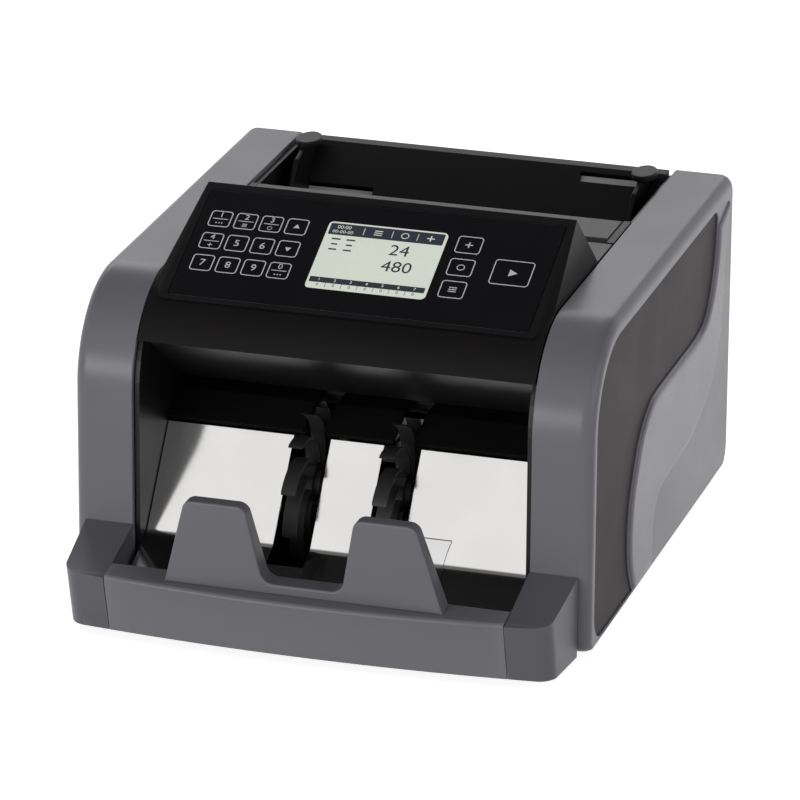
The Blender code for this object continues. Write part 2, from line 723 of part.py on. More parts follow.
def swell_outline():
    """The outline of the light swell behind the insert."""
    front = beside(swell_line(SWELL_FRONT_SHARES), SWELL_GAP)
    rear = swell_line(SWELL_REAR_SHARES)
    return front + list(reversed(rear))


def side_housing(side, surface, machine):
    """A grey side casing, open towards the frame, with a recess and a swell on its outer face."""
    rings = [ring("x", side * BAY_HALF, housing_outline(0.0))]
    round_steps = 4
    for i in range(round_steps + 1):
        turn = math.radians(90 * i / round_steps)
        inset = EDGE_ROUND * (1 - math.cos(turn))
        across = CASING_HALF - EDGE_ROUND * (1 - math.sin(turn))
        rings.append(ring("x", side * across, housing_outline(inset, inset * LOW_ROUND_SHARE)))
    housing = loft("side_housing_" + SIDES[side], rings)
    cavity_start = side * (BAY_HALF - OVERRUN)
    cavity_end = side * (CASING_HALF - SIDE_WALL)
    cut(housing, prism("cavity", "x", housing_outline(HOUSING_WALL), cavity_start, cavity_end))
    recess_floor = side * (CASING_HALF - INSERT_RECESS)
    cut(housing, prism("recess", "x", insert_outline(), recess_floor, side * (CASING_HALF + OVERRUN)))
    outline = swell_outline()
    root = side * (CASING_HALF - SWELL_HEIGHT)
    shoulder = side * (CASING_HALF + SWELL_HEIGHT / 2)
    crown = side * (CASING_HALF + SWELL_HEIGHT)
    swell_rings = [ring("x", root, outline), ring("x", side * CASING_HALF, outline)]
    swell_rings.append(ring("x", shoulder, shrink(outline, SWELL_EDGE / 3)))
    swell_rings.append(ring("x", crown, shrink(outline, SWELL_EDGE)))
    join(housing, loft("swell", swell_rings))
    return finish(housing, surface, machine)


def side_insert(side, surface, machine):
    """The dark panel set in the recess of a side housing."""
    outline = shrink(insert_outline(), SEAM)
    inner = CASING_HALF - INSERT_RECESS + SEAM
    outer = inner + INSERT_THICKNESS
    edge = SEAM
    rings = [ring("x", side * inner, outline), ring("x", side * (outer - edge), outline)]
    rings.append(ring("x", side * outer, shrink(outline, edge)))
    return finish(loft("side_insert_" + SIDES[side], rings), surface, machine)


def pinch_axis():
    """The place of the pinch shaft, right above the transport shaft."""
    return (TRANSPORT_AXIS[0], TRANSPORT_AXIS[1] + TRANSPORT_RADIUS + PINCH_GAP + PINCH_RADIUS)


def retard_axis():
    """The place of the retard rollers' axle, above the feed rollers and a little behind them."""
    reach = FEED_RADIUS + RETARD_GAP + RETARD_RADIUS
    return (FEED_AXIS[0] + RETARD_LEAD, FEED_AXIS[1] + math.sqrt(reach ** 2 - RETARD_LEAD ** 2))


def hopper_point(run_share, rise_share):
    """A place over the feed plane, as shares of the way from its foot to its head."""
    return (FEED_PLANE_FOOT[0] + FEED_PLANE_RUN * run_share, FEED_PLANE_FOOT[1] + FEED_PLANE_RISE * rise_share)


def feed_plane_origin():
    """The place on the feed plane over the pickup rollers."""
    share = PICKUP_DISTANCE / FEED_PLANE_LENGTH
    return (0.0, *hopper_point(share, share))


def feed_plane_matrix():
    """The frame of the feed plane: its Y runs up the slope and its Z stands into the hopper."""
    return frame_matrix(feed_plane_origin(), FEED_PLANE_TILT)


def pickup_axis():
    """The place of the pickup shaft, so that its rollers stand proud of the feed plane."""
    centre = feed_plane_matrix() @ Vector((0.0, 0.0, PICKUP_PROUD - PICKUP_RADIUS))
    return (centre.y, centre.z)


def door_axis():
    """The place of the rear door's hinge pins."""
    return (REAR_FACE_Y - REAR_THICKNESS / 2, PANEL_TOP + SEAM + DOOR_BARREL_RADIUS)


def frame_plate(side, surface, machine):
    """A steel side plate with a hole for each shaft that it carries."""
    inner = BAY_HALF - SEAM - PLATE_THICKNESS
    outer = BAY_HALF - SEAM
    outline = housing_outline(HOUSING_WALL + SEAM)
    plate = prism("frame_plate_" + SIDES[side], "x", outline, side * inner, side * outer)
    holes = [(place, SHAFT_RADIUS) for place in (STACKER_AXIS, TRANSPORT_AXIS, FEED_AXIS, pickup_axis())]
    holes.append((pinch_axis(), SHAFT_RADIUS))
    holes.append((door_axis(), DOOR_PIN_RADIUS))
    if side < 0:
        holes.append((MOTOR_AXIS, MOTOR_BOSS_RADIUS))
    for place, radius in holes:
        stations = [(side * (inner - OVERRUN), radius + SEAM), (side * (outer + OVERRUN), radius + SEAM)]
        cut(plate, spindle("hole", "x", stations, SHAFT_SIDES, place))
    return finish(plate, surface, machine)


def tray_face(across, height):
    """The place of the bowed, leaning front face at a distance from the middle and a height."""
    share = height / TRAY_EDGE_HEIGHT
    reach = TRAY_FOOT_REACH + (TRAY_REACH - TRAY_FOOT_REACH) * share
    bow = TRAY_FOOT_BOW + (TRAY_BOW - TRAY_FOOT_BOW) * share
    return -reach + bow * (across / BAY_HALF) ** 2


def tray_section(across):
    """The cut through the hollow front wall and the shelf behind it."""
    foot = tray_face(across, 0.0)
    edge = tray_face(across, TRAY_EDGE_HEIGHT)
    inner = TRAY_INNER_Y - TRAY_WALL
    shelf_foot = SHELF_TOP - TRAY_WALL
    roof = TRAY_HEIGHT - TRAY_WALL
    return [
        (foot, 0.0),
        (edge, TRAY_EDGE_HEIGHT),
        (edge + TRAY_EDGE_ROUND, TRAY_EDGE_HEIGHT + TRAY_EDGE_ROUND),
        (TRAY_INNER_Y - TRAY_EDGE_ROUND, TRAY_HEIGHT),
        (TRAY_INNER_Y, TRAY_HEIGHT - TRAY_EDGE_ROUND),
        (TRAY_INNER_Y, SHELF_TOP),
        (SHELF_REAR_Y, SHELF_TOP),
        (SHELF_REAR_Y, shelf_foot),
        (inner, shelf_foot),
        (inner, roof),
        (edge + TRAY_WALL + TRAY_EDGE_ROUND, TRAY_EDGE_HEIGHT - TRAY_EDGE_ROUND),
        (foot + TRAY_WALL, 0.0),
    ]


def fin_outline():
    """The front view of both fins and the low wall between them."""
    foot = TRAY_HEIGHT - TRAY_WALL / 2
    right = [(FIN_OUTER_FOOT_X, foot), (FIN_OUTER_TOP_X, FIN_HEIGHT), (FIN_INNER_TOP_X, FIN_HEIGHT),
             (FIN_INNER_FOOT_X, FIN_VALLEY_HEIGHT)]
    left = [(-across, up) for across, up in reversed(right)]
    radii = [0.0, FIN_TOP_RADIUS, FIN_TOP_RADIUS, FIN_VALLEY_RADIUS]
    return round_corners(right + left, radii + list(reversed(radii)), 4)


def fin_row(outline, foot_place, top_place, inset):
    """The fins' outline laid on a leaning face, set in from that face."""
    row = []
    for across, up in outline:
        share = (up - TRAY_HEIGHT) / (FIN_HEIGHT - TRAY_HEIGHT)
        row.append((across, foot_place + (top_place - foot_place) * share + inset, up))
    return row


def front_tray(surface, machine):
    """The bowed front wall with its shelf and the two fins that hold the notes."""
    half = BAY_HALF - SEAM
    rings = []
    for i in range(TRAY_SECTIONS + 1):
        across = half * (2 * i / TRAY_SECTIONS - 1)
        rings.append(ring("x", across, tray_section(across)))
    tray = loft("front_tray", rings)
    outline = fin_outline()
    drawn_in = shrink(outline, FIN_EDGE)
    back_foot = TRAY_INNER_Y - SEAM
    fins = [fin_row(drawn_in, FIN_FRONT_FOOT_Y, FIN_FRONT_TOP_Y, 0.0)]
    fins.append(fin_row(outline, FIN_FRONT_FOOT_Y, FIN_FRONT_TOP_Y, FIN_EDGE))
    fins.append(fin_row(outline, back_foot, FIN_BACK_TOP_Y, -FIN_EDGE))
    fins.append(fin_row(drawn_in, back_foot, FIN_BACK_TOP_Y, 0.0))
    join(tray, loft("fins", fins))
    return finish(tray, surface, machine)


def cap_plan(side, height, inset):
    """The plan of an end cap at a height, drawn in by an inset."""
    corner_x = CAP_FRONT_X - CAP_CORNER_RADIUS
    front = tray_face(corner_x, height)
    centre = (corner_x, front + CAP_CORNER_RADIUS)
    outline = [(BAY_HALF, -SEAM), (CAP_REAR_X, -SEAM)]
    outline += arc(centre, (CAP_CORNER_RADIUS, CAP_CORNER_RADIUS), 0, -90, 5)
    middle = (BAY_HALF + corner_x) / 2
    outline += [(middle, tray_face(middle, height)), (BAY_HALF, tray_face(BAY_HALF, height))]
    return [(side * across, along) for across, along in shrink(outline, inset)]


def end_cap(side, surface, machine):
    """A grey corner block in front of a side housing, hollow from below."""
    name = "end_cap_" + SIDES[side]
    tall = TRAY_HEIGHT + CAP_RISE + OVERRUN
    cap = loft(name, [ring("z", height, cap_plan(side, height, 0.0)) for height in (0.0, tall)])
    top_line = [(-TRAY_REACH - OVERRUN, TRAY_EDGE_HEIGHT), (-TRAY_REACH + TRAY_BOW, TRAY_EDGE_HEIGHT),
                (TRAY_INNER_Y, TRAY_HEIGHT), (OVERRUN, TRAY_HEIGHT + CAP_RISE)]
    above = [(OVERRUN, tall + OVERRUN), (-TRAY_REACH - OVERRUN, tall + OVERRUN)]
    reach = side * (BAY_HALF - OVERRUN), side * (CAP_REAR_X + OVERRUN)
    cut(cap, prism("above", "x", top_line + above, *reach))
    soften(cap, CAP_EDGE, 2, 40.0)
    roof = TRAY_EDGE_HEIGHT - TRAY_WALL
    hollow = [ring("z", height, cap_plan(side, height, TRAY_WALL)) for height in (-OVERRUN, roof)]
    cut(cap, loft("hollow", hollow))
    return finish(cap, surface, machine)


def base_pan(surface, machine):
    """The bottom tray with a low rim, bosses for the boards and vents under the motor."""
    half = BAY_HALF - 2 * SEAM - PLATE_THICKNESS - SEAM
    pan = box("base_pan", (-half, PAN_FRONT_Y, 0.0), (half, PAN_REAR_Y, PAN_RIM_HEIGHT))
    inner = half - HOUSING_WALL
    low = (-inner, PAN_FRONT_Y + HOUSING_WALL, PAN_FLOOR)
    cut(pan, box("inside", low, (inner, PAN_REAR_Y - HOUSING_WALL, PAN_RIM_HEIGHT + OVERRUN)))
    for x, y in board_boss_places():
        stations = [(PAN_FLOOR / 2, BOARD_BOSS_RADIUS), (BOARD_HEIGHT - SEAM, BOARD_BOSS_RADIUS)]
        join(pan, spindle("boss", "z", stations, 8, (x, y)))
    for i in range(PAN_VENT_COUNT):
        x = (i - (PAN_VENT_COUNT - 1) / 2) * PAN_VENT_PITCH
        vent_low = (x - PAN_VENT_WIDTH / 2, PAN_VENT_Y, -OVERRUN)
        vent_high = (x + PAN_VENT_WIDTH / 2, PAN_VENT_Y + PAN_VENT_LENGTH, PAN_FLOOR + OVERRUN)
        cut(pan, box("vent", vent_low, vent_high))
    return finish(pan, surface, machine)


def board_spans():
    """Where the main board and the power supply start and end across the machine."""
    start = BOARD_SIDE_MARGIN - inner_half()
    return ((start, MAIN_BOARD_END), (SUPPLY_START, SUPPLY_END))


def board_boss_places():
    """The places of the bosses under the corners of the main board and the power supply."""
    places = []
    for start, end in board_spans():
        for x in (start + BOARD_BOSS_INSET, end - BOARD_BOSS_INSET):
            for y in (BOARD_FRONT_Y + BOARD_BOSS_INSET, BOARD_REAR_Y - BOARD_BOSS_INSET):
                places.append((x, y))
    return places


def foot(side, place, y, surface, machine):
    """A rubber foot under the base pan."""
    name = "foot_" + place + "_" + SIDES[side]
    edge = FOOT_RADIUS / 8
    stations = [(-FOOT_HEIGHT, FOOT_RADIUS - 2 * edge), (-FOOT_HEIGHT + edge, FOOT_RADIUS - edge),
                (-SEAM, FOOT_RADIUS)]
    return finish(spindle(name, "z", stations, 20), surface, machine, (side * FOOT_X, y, 0.0))


def console_matrix():
    """The frame of the console's slope: its origin at the top edge, Y up the slope, Z out of it."""
    return frame_matrix((0.0, CONSOLE_TOP_Y, CONSOLE_TOP_HEIGHT), CONSOLE_SLOPE)


def hull(name, corners):
    """The smallest convex solid round some corners."""
    mesh = bpy.data.meshes.new(name)
    shape = bmesh.new()
    for corner in corners:
        shape.verts.new(corner)
    result = bmesh.ops.convex_hull(shape, input=shape.verts)
    loose = [item for item in result["geom_interior"] if isinstance(item, bmesh.types.BMVert)]
    bmesh.ops.delete(shape, geom=loose, context="VERTS")
    bmesh.ops.dissolve_limit(shape, angle_limit=math.radians(0.1), verts=shape.verts, edges=shape.edges)
    bmesh.ops.recalc_face_normals(shape, faces=shape.faces)
    shape.to_mesh(mesh)
    shape.free()
    piece = bpy.data.objects.new(name, mesh)
    bpy.context.scene.collection.objects.link(piece)
    return piece


def console_corners(wall):
    """The corners of the console's wedge, or of its inside when a wall is given."""
    slope = console_matrix()
    half = CONSOLE_HALF_WIDTH - wall
    corners = []
    for side in SIDES:
        top = slope @ Vector((side * half, -wall * 1.5, -wall))
        low = slope @ Vector((side * half, wall * 1.5 - CONSOLE_LENGTH, -wall))
        corners += [top, low]
        base_half = BAY_HALF - 2 * SEAM if wall == 0 else half
        base = HOUSING_HEIGHT - HOUSING_WALL / 2 - 1.2 * wall
        brow = BROW_RADIUS - math.sqrt(BROW_RADIUS ** 2 - (base - HOUSING_HEIGHT + BROW_RADIUS) ** 2)
        corners.append(Vector((side * base_half, brow + wall * 2, base)))
        corners.append(Vector((side * base_half, CONSOLE_BACK_Y - wall, base)))
    return corners


def front_visor(surface, machine):
    """The black curved cover with its lip and the hollow wedge of the console on it."""
    half = BAY_HALF - 2 * SEAM
    centre = (BROW_RADIUS, HOUSING_HEIGHT - BROW_RADIUS)
    lip_angle = 180 - math.degrees(math.asin((VISOR_LIP_HEIGHT - centre[1]) / BROW_RADIUS))
    inner_radius = BROW_RADIUS - HOUSING_WALL
    outer = arc(centre, (BROW_RADIUS, BROW_RADIUS), lip_angle, 90, 10)
    inner = arc(centre, (inner_radius, inner_radius), 90, lip_angle - 3, 9)
    lip = (inner[-1][0] + VISOR_RETURN, inner[-1][1])
    lip_low = (lip[0], outer[0][1])
    deck = [(CONSOLE_BACK_Y, HOUSING_HEIGHT), (CONSOLE_BACK_Y, HOUSING_HEIGHT - HOUSING_WALL)]
    visor = prism("front_visor", "x", outer + deck + inner + [lip, lip_low], -half, half)
    join(visor, soften(hull("wedge", console_corners(0.0)), 2 * SEAM, 2, 20.0))
    cut(visor, hull("inside", console_corners(CONSOLE_WALL)))
    under = housing_outline(HOUSING_WALL - SEAM / 2)
    for side in SIDES:
        cut(visor, prism("notch", "x", under, side * inner_half(), side * BAY_HALF))
    slope = console_matrix()
    pocket_depth = PANEL_THICKNESS + SEAM
    pocket = prism("pocket", "z", shrink(panel_outline(), -SEAM), -pocket_depth, OVERRUN)
    pocket.data.transform(slope)
    cut(visor, pocket)
    opening_size = (DISPLAY_WIDTH - DISPLAY_LEDGE, DISPLAY_HEIGHT - DISPLAY_LEDGE)
    opening_outline = rounded_box_outline(*opening_size, DISPLAY_CORNER, (DISPLAY_X, -DISPLAY_DOWN))
    opening = prism("opening", "z", opening_outline, -CONSOLE_WALL - OVERRUN, OVERRUN)
    opening.data.transform(slope)
    cut(visor, opening)
    return finish(visor, surface, machine)


def panel_outline():
    """The outline of the membrane panel on the console's slope."""
    centre = (0.0, -PANEL_TOP_MARGIN - PANEL_LENGTH / 2)
    return rounded_box_outline(2 * PANEL_HALF_WIDTH, PANEL_LENGTH, PANEL_CORNER, centre)


def console_panel(surface, slope):
    """The flat membrane panel with its window hole."""
    panel = prism("console_panel", "z", panel_outline(), -PANEL_THICKNESS, 0.0)
    hole_size = (DISPLAY_WIDTH + 2 * SEAM, DISPLAY_HEIGHT + 2 * SEAM)
    hole = rounded_box_outline(*hole_size, DISPLAY_CORNER + SEAM, (DISPLAY_X, -DISPLAY_DOWN))
    cut(panel, prism("hole", "z", hole, -PANEL_THICKNESS - OVERRUN, OVERRUN))
    return finish(panel, surface, slope)


def display_window(surface, slope):
    """The clear window over the display."""
    outline = rounded_box_outline(DISPLAY_WIDTH, DISPLAY_HEIGHT, DISPLAY_CORNER)
    window = prism("display_window", "z", outline, -PANEL_THICKNESS, 0.0)
    return finish(window, surface, slope, (DISPLAY_X, -DISPLAY_DOWN, 0.0))


def lcd_module(surface, slope):
    """The display module behind the window, with a raised glass on a frame."""
    width = DISPLAY_WIDTH + 2 * LCD_BORDER
    height = DISPLAY_HEIGHT + 2 * LCD_BORDER
    top = -CONSOLE_WALL - SEAM
    foot_place = top - LCD_THICKNESS
    module = prism("lcd_module", "z", rounded_box_outline(width, height, LCD_BORDER), foot_place, top)
    return finish(module, surface, slope, (DISPLAY_X, -DISPLAY_DOWN, 0.0))


def console_board(surface, slope):
    """The circuit board under the console with its connector."""
    top = -CONSOLE_WALL - LCD_THICKNESS - 2 * SEAM
    low = (-CONSOLE_BOARD_HALF_WIDTH, -CONSOLE_BOARD_TOP - CONSOLE_BOARD_LENGTH, top - BOARD_THICKNESS)
    board = box("console_board", low, (CONSOLE_BOARD_HALF_WIDTH, -CONSOLE_BOARD_TOP, top))
    centre = (-CONSOLE_BOARD_HALF_WIDTH / 2, -DISPLAY_DOWN)
    size = (CONSOLE_BOARD_LENGTH / 2, CONSOLE_BOARD_LENGTH / 6)
    connector = rounded_box_outline(*size, BOARD_THICKNESS / 2, centre, 1)
    middle = top - BOARD_THICKNESS / 2
    join(board, prism("connector", "z", connector, middle - 3 * BOARD_THICKNESS, middle))
    return finish(board, surface, slope, smooth=False)


def top_deck(surface, machine):
    """The grey deck behind the console, with a skirt at its rear edge and a hole for the knob's screw."""
    half = BAY_HALF - 2 * SEAM
    front = CONSOLE_BACK_Y + SEAM
    line = [(DECK_REAR_Y, HOUSING_HEIGHT - DECK_SKIRT), (DECK_REAR_Y, HOUSING_HEIGHT), (front, HOUSING_HEIGHT)]
    deck = prism("top_deck", "x", sheet(line, HOUSING_WALL), -half, half)
    radius = SCREW_RADIUS + SEAM
    stations = [(HOUSING_HEIGHT - HOUSING_WALL - OVERRUN, radius), (HOUSING_HEIGHT + OVERRUN, radius)]
    cut(deck, spindle("hole", "z", stations, SHAFT_SIDES, (0.0, KNOB_Y)))
    skirt_low = HOUSING_HEIGHT - DECK_SKIRT - OVERRUN
    for side in SIDES:
        plate = sorted((side * (BAY_HALF - PLATE_THICKNESS - 2 * SEAM), side * BAY_HALF))
        notch_low = (plate[0], DECK_REAR_Y - HOUSING_WALL - OVERRUN, skirt_low)
        cut(deck, box("notch", notch_low, (plate[1], DECK_REAR_Y + OVERRUN, HOUSING_HEIGHT - HOUSING_WALL)))
    return finish(deck, surface, machine)


def hopper_lip(surface, machine):
    """The grey lip along the front of the hopper, with a short skirt at both edges."""
    low = HOUSING_HEIGHT - LIP_SKIRT
    corners = [(LIP_REAR_Y, low), (LIP_REAR_Y, HOUSING_HEIGHT), (LIP_FRONT_Y, HOUSING_HEIGHT), (LIP_FRONT_Y, low)]
    line = round_corners(corners, [0.0, LIP_EDGE_RADIUS, LIP_EDGE_RADIUS, 0.0], 4)
    lip = prism("hopper_lip", "x", sheet(line, HOUSING_WALL), -LIP_HALF_WIDTH, LIP_HALF_WIDTH)
    return finish(lip, surface, machine)


def slots(piece, across, width, along, length, low, high):
    """Cuts a pair of slots, left and right of the middle, through a piece."""
    for side in SIDES:
        corner_low = (side * across - width / 2, along - length / 2, low)
        corner_high = (side * across + width / 2, along + length / 2, high)
        cut(piece, box("slot", corner_low, corner_high))


def inner_half():
    """Half the width of what lies between the frame plates."""
    return BAY_HALF - PLATE_THICKNESS - 2 * SEAM


def lower_guide(surface, machine):
    """The bent sheet that the notes slide on, with slots for the wheels and rollers."""
    line = [(HOUSING_DEPTH * share, PATH_LEVEL + rise)
            for share, rise in zip(LOWER_GUIDE_SHARES, LOWER_GUIDE_RISES)]
    guide = prism("lower_guide", "x", sheet(line, -PATH_THICKNESS), -inner_half(), inner_half())
    low = line[0][1] - PATH_THICKNESS - 2 * OVERRUN
    high = line[-1][1] + OVERRUN
    wheel_reach = 2 * (WHEEL_RADIUS + ROLLER_SLOT_MARGIN)
    slots(guide, WHEEL_X, WHEEL_SLOT_WIDTH, STACKER_AXIS[0], wheel_reach, low, high)
    margin = 2 * ROLLER_SLOT_MARGIN
    rollers = (
        (TRANSPORT_ROLLER_X, TRANSPORT_ROLLER_WIDTH, TRANSPORT_AXIS[0], 2 * TRANSPORT_RADIUS),
        (FEED_ROLLER_X, FEED_ROLLER_WIDTH, FEED_AXIS[0], 2 * FEED_RADIUS),
    )
    for across, width, along, length in rollers:
        slots(guide, across, width + margin, along, length - margin, low, high)
    return finish(guide, surface, machine)


def upper_guide(surface, machine):
    """The bent sheet over the notes: the stacker's roof, the path's roof and the hopper's front wall."""
    heights = [HOUSING_HEIGHT - UPPER_GUIDE_FRONT_DROP]
    heights += [PATH_LEVEL + rise for rise in UPPER_GUIDE_RISES]
    heights.append(HOUSING_HEIGHT - HOUSING_WALL - SEAM)
    line = [(HOUSING_DEPTH * share, height) for share, height in zip(UPPER_GUIDE_SHARES, heights)]
    guide = prism("upper_guide", "x", sheet(line, PATH_THICKNESS), -inner_half(), inner_half())
    low = line[3][1] - 2 * OVERRUN
    margin = 2 * ROLLER_SLOT_MARGIN
    pinch_top = low + 4 * OVERRUN
    pinch_length = 2 * PINCH_RADIUS + margin
    slots(guide, TRANSPORT_ROLLER_X, PINCH_ROLLER_WIDTH + margin, pinch_axis()[0], pinch_length, low, pinch_top)
    cheek_reach = RETARD_WIDTH + 2 * (CHEEK_THICKNESS + CHEEK_CLEARANCE) + margin
    middle = (CHEEK_FRONT_Y + CHEEK_REAR_Y + RETARD_LEAD) / 2
    length = CHEEK_REAR_Y - CHEEK_FRONT_Y + RETARD_LEAD + 2 * margin
    slots(guide, FEED_ROLLER_X, cheek_reach, middle, length, low, BRIDGE_HEIGHT + BRIDGE_THICKNESS + margin)
    return finish(guide, surface, machine)


def stacker_plate(surface, machine):
    """The polished plate that the counted notes land on, slotted for the stacker wheels."""
    line = round_corners([STACK_TOP, STACK_BEND, STACK_FRONT], [0.0, STACK_BEND_RADIUS, 0.0], 5)
    plate = prism("stacker_plate", "x", sheet(line, STACK_THICKNESS), -inner_half(), inner_half())
    length = 2 * STACK_TOP[0]
    top = STACK_TOP[1] + OVERRUN
    slots(plate, WHEEL_X, STACK_SLOT_WIDTH, length / 2, length, SHELF_TOP, top)
    return finish(plate, surface, machine)


def note_stop(side, surface, machine):
    """A clear flexible strip behind a fin that catches the notes."""
    line = [(TRAY_INNER_Y + reach, TRAY_HEIGHT + rise) for reach, rise in zip(STOP_REACHES, STOP_RISES)]
    outline = sheet(smooth_line(line, 2), -STOP_THICKNESS)
    strip = prism("note_stop_" + SIDES[side], "x", outline, side * STOP_INNER_X, side * STOP_OUTER_X)
    return finish(strip, surface, machine)


def hopper_backrest(surface, machine):
    """The sloping plate under the notes, running over the top into the back of the hopper."""
    slope = feed_plane_matrix()
    top = HOUSING_HEIGHT - SEAM
    line = [FEED_PLANE_FOOT, FEED_PLANE_HEAD, (FEED_PLANE_HEAD[0] + HOPPER_WALL, top), (HOPPER_BACK_Y, top),
            (HOPPER_BACK_Y, HOPPER_BACK_FOOT)]
    rest = prism("hopper_backrest", "x", sheet(line, -HOPPER_WALL), -inner_half(), inner_half())
    for side in SIDES:
        half = PICKUP_ROLLER_WIDTH / 2 + ROLLER_SLOT_MARGIN
        reach = math.sqrt(PICKUP_RADIUS ** 2 - (PICKUP_RADIUS - HOPPER_WALL - PICKUP_PROUD) ** 2)
        reach += ROLLER_SLOT_MARGIN
        slot_low = (side * PICKUP_ROLLER_X - half, -reach, -HOPPER_WALL - OVERRUN)
        slot = box("slot", slot_low, (side * PICKUP_ROLLER_X + half, reach, OVERRUN))
        slot.data.transform(slope)
        cut(rest, slot)
        up = rack_line(side)
        stem_half = STEM_LENGTH / 2 + STEM_CLEARANCE
        ends = sorted((side * (GUIDE_X + GUIDE_THICKNESS + STEM_CLEARANCE),
                       side * (GUIDE_X - GUIDE_TRAVEL - STEM_CLEARANCE)))
        groove_low = (ends[0], up - stem_half, -HOPPER_WALL - OVERRUN)
        groove = box("groove", groove_low, (ends[1], up + stem_half, OVERRUN))
        groove.data.transform(slope)
        cut(rest, groove)
    pin_foot = -HOPPER_WALL - SEAM - RACK_THICKNESS
    stations = [(pin_foot, PINION_PIN_RADIUS), (-HOPPER_WALL / 2, PINION_PIN_RADIUS)]
    pin = spindle("pin", "z", stations, 12, (0.0, PINION_UP))
    pin.data.transform(slope)
    join(rest, pin)
    return finish(rest, surface, machine)


def rack_line(side):
    """The middle of a rack's back, up the feed plane: the left rack below the pinion, the right above."""
    return PINION_UP + side * (PITCH_RADIUS + TOOTH_DEDENDUM + RACK_BACK / 2)


def hopper_guide(side, surface, machine):
    """A side guide for the notes: a blade with a thumb pad, and a stem through the backrest to its rack."""
    inner = side * GUIDE_X
    outer = side * (GUIDE_X + GUIDE_THICKNESS)
    lift = Vector((-FEED_PLANE_RISE, FEED_PLANE_RUN)) * (GUIDE_LIFT / FEED_PLANE_LENGTH)
    corners = [Vector(hopper_point(*shares)) + lift for shares in GUIDE_FOOT_SHARES]
    head = corners[-1].x
    corners.append(Vector((head, PAD_BASE + PAD_THICKNESS / 4)))
    corners += [Vector(hopper_point(*shares)) for shares in GUIDE_TOP_SHARES]
    radii = [0.0, 0.0, 0.0, PAD_THICKNESS, PAD_LENGTH / 3, PAD_LENGTH / 3, 0.0]
    outline = round_corners(corners, radii, 3)
    blade = prism("hopper_guide_" + SIDES[side], "x", outline, inner, outer)
    middle = side * (GUIDE_X + GUIDE_THICKNESS / 2)
    pad_plan = []
    for i in range(16):
        turn = 2 * math.pi * i / 16
        across = middle + PAD_WIDTH / 2 * math.cos(turn)
        pad_plan.append((across, PAD_Y + PAD_LENGTH / 2 * math.sin(turn)))
    edge = PAD_THICKNESS / 4
    heights = (PAD_BASE, PAD_BASE + PAD_THICKNESS - edge, PAD_BASE + PAD_THICKNESS)
    rings = [ring("z", heights[0], pad_plan), ring("z", heights[1], pad_plan)]
    rings.append(ring("z", heights[2], shrink(pad_plan, edge)))
    join(blade, loft("pad", rings))
    up = rack_line(side)
    ends = sorted((inner, outer))
    stem_low = (ends[0], up - STEM_LENGTH / 2, -HOPPER_WALL)
    stem = box("stem", stem_low, (ends[1], up + STEM_LENGTH / 2, STEM_LENGTH))
    stem.data.transform(feed_plane_matrix())
    join(blade, stem)
    return finish(blade, surface, machine)


def guide_rack(side, surface, feed_plane):
    """The toothed bar behind the backrest that ties a guide to the pinion."""
    pitch = math.pi * TOOTH_MODULE
    line = PINION_UP + side * PITCH_RADIUS
    back = line + side * (TOOTH_DEDENDUM + RACK_BACK)
    root = line + side * TOOTH_DEDENDUM
    tip = line - side * TOOTH_ADDENDUM
    slant = math.tan(math.radians(TOOTH_PRESSURE_ANGLE))
    half_line = pitch / 4 - TOOTH_BACKLASH / 2
    half_root = half_line + TOOTH_DEDENDUM * slant
    half_tip = half_line - TOOTH_ADDENDUM * slant
    start = -RACK_REACH
    end = GUIDE_X + GUIDE_THICKNESS
    first = math.ceil((start + half_root) / pitch)
    last = math.floor((GUIDE_TRAVEL + RACK_REACH) / pitch)
    outline = [(start, back), (start, root)]
    for i in range(first, last + 1):
        middle = i * pitch
        outline += [(middle - half_root, root), (middle - half_tip, tip), (middle + half_tip, tip),
                    (middle + half_root, root)]
    outline += [(end, root), (end, back)]
    flipped = [(side * across, up) for across, up in outline]
    top = -HOPPER_WALL - SEAM
    rack = prism("guide_rack_" + SIDES[side], "z", flipped, top - RACK_THICKNESS, top)
    return finish(rack, surface, feed_plane, smooth=False)


def involute_half_angle(radius):
    """Half the angle that a pinion tooth fills at a radius."""
    base = PITCH_RADIUS * math.cos(math.radians(TOOTH_PRESSURE_ANGLE))

    def involute(at_radius):
        pressure = math.acos(min(base / at_radius, 1.0))
        return math.tan(pressure) - pressure

    thickness = math.pi * TOOTH_MODULE / 2 - TOOTH_BACKLASH
    return thickness / (2 * PITCH_RADIUS) + involute(PITCH_RADIUS) - involute(max(radius, base))


def guide_pinion(surface, feed_plane):
    """The small gear between the two racks, which makes the guides move together."""
    root = PITCH_RADIUS - TOOTH_DEDENDUM
    tip = PITCH_RADIUS + TOOTH_ADDENDUM
    radii = [root + (tip - root) * i / FLANK_STEPS for i in range(FLANK_STEPS + 1)]
    outline = []
    for tooth in range(PINION_TEETH):
        middle = 2 * math.pi * tooth / PINION_TEETH
        for radius in radii:
            turn = middle - involute_half_angle(radius)
            outline.append((radius * math.cos(turn), radius * math.sin(turn)))
        for radius in reversed(radii):
            turn = middle + involute_half_angle(radius)
            outline.append((radius * math.cos(turn), radius * math.sin(turn)))
    top = -HOPPER_WALL - SEAM
    pinion = prism("guide_pinion", "z", outline, top - RACK_THICKNESS, top)
    stations = [(top - RACK_THICKNESS - OVERRUN, PINION_PIN_RADIUS + SEAM), (top + OVERRUN, PINION_PIN_RADIUS + SEAM)]
    cut(pinion, spindle("bore", "z", stations, 12))
    return finish(pinion, surface, feed_plane, (0.0, PINION_UP, 0.0), smooth=False)


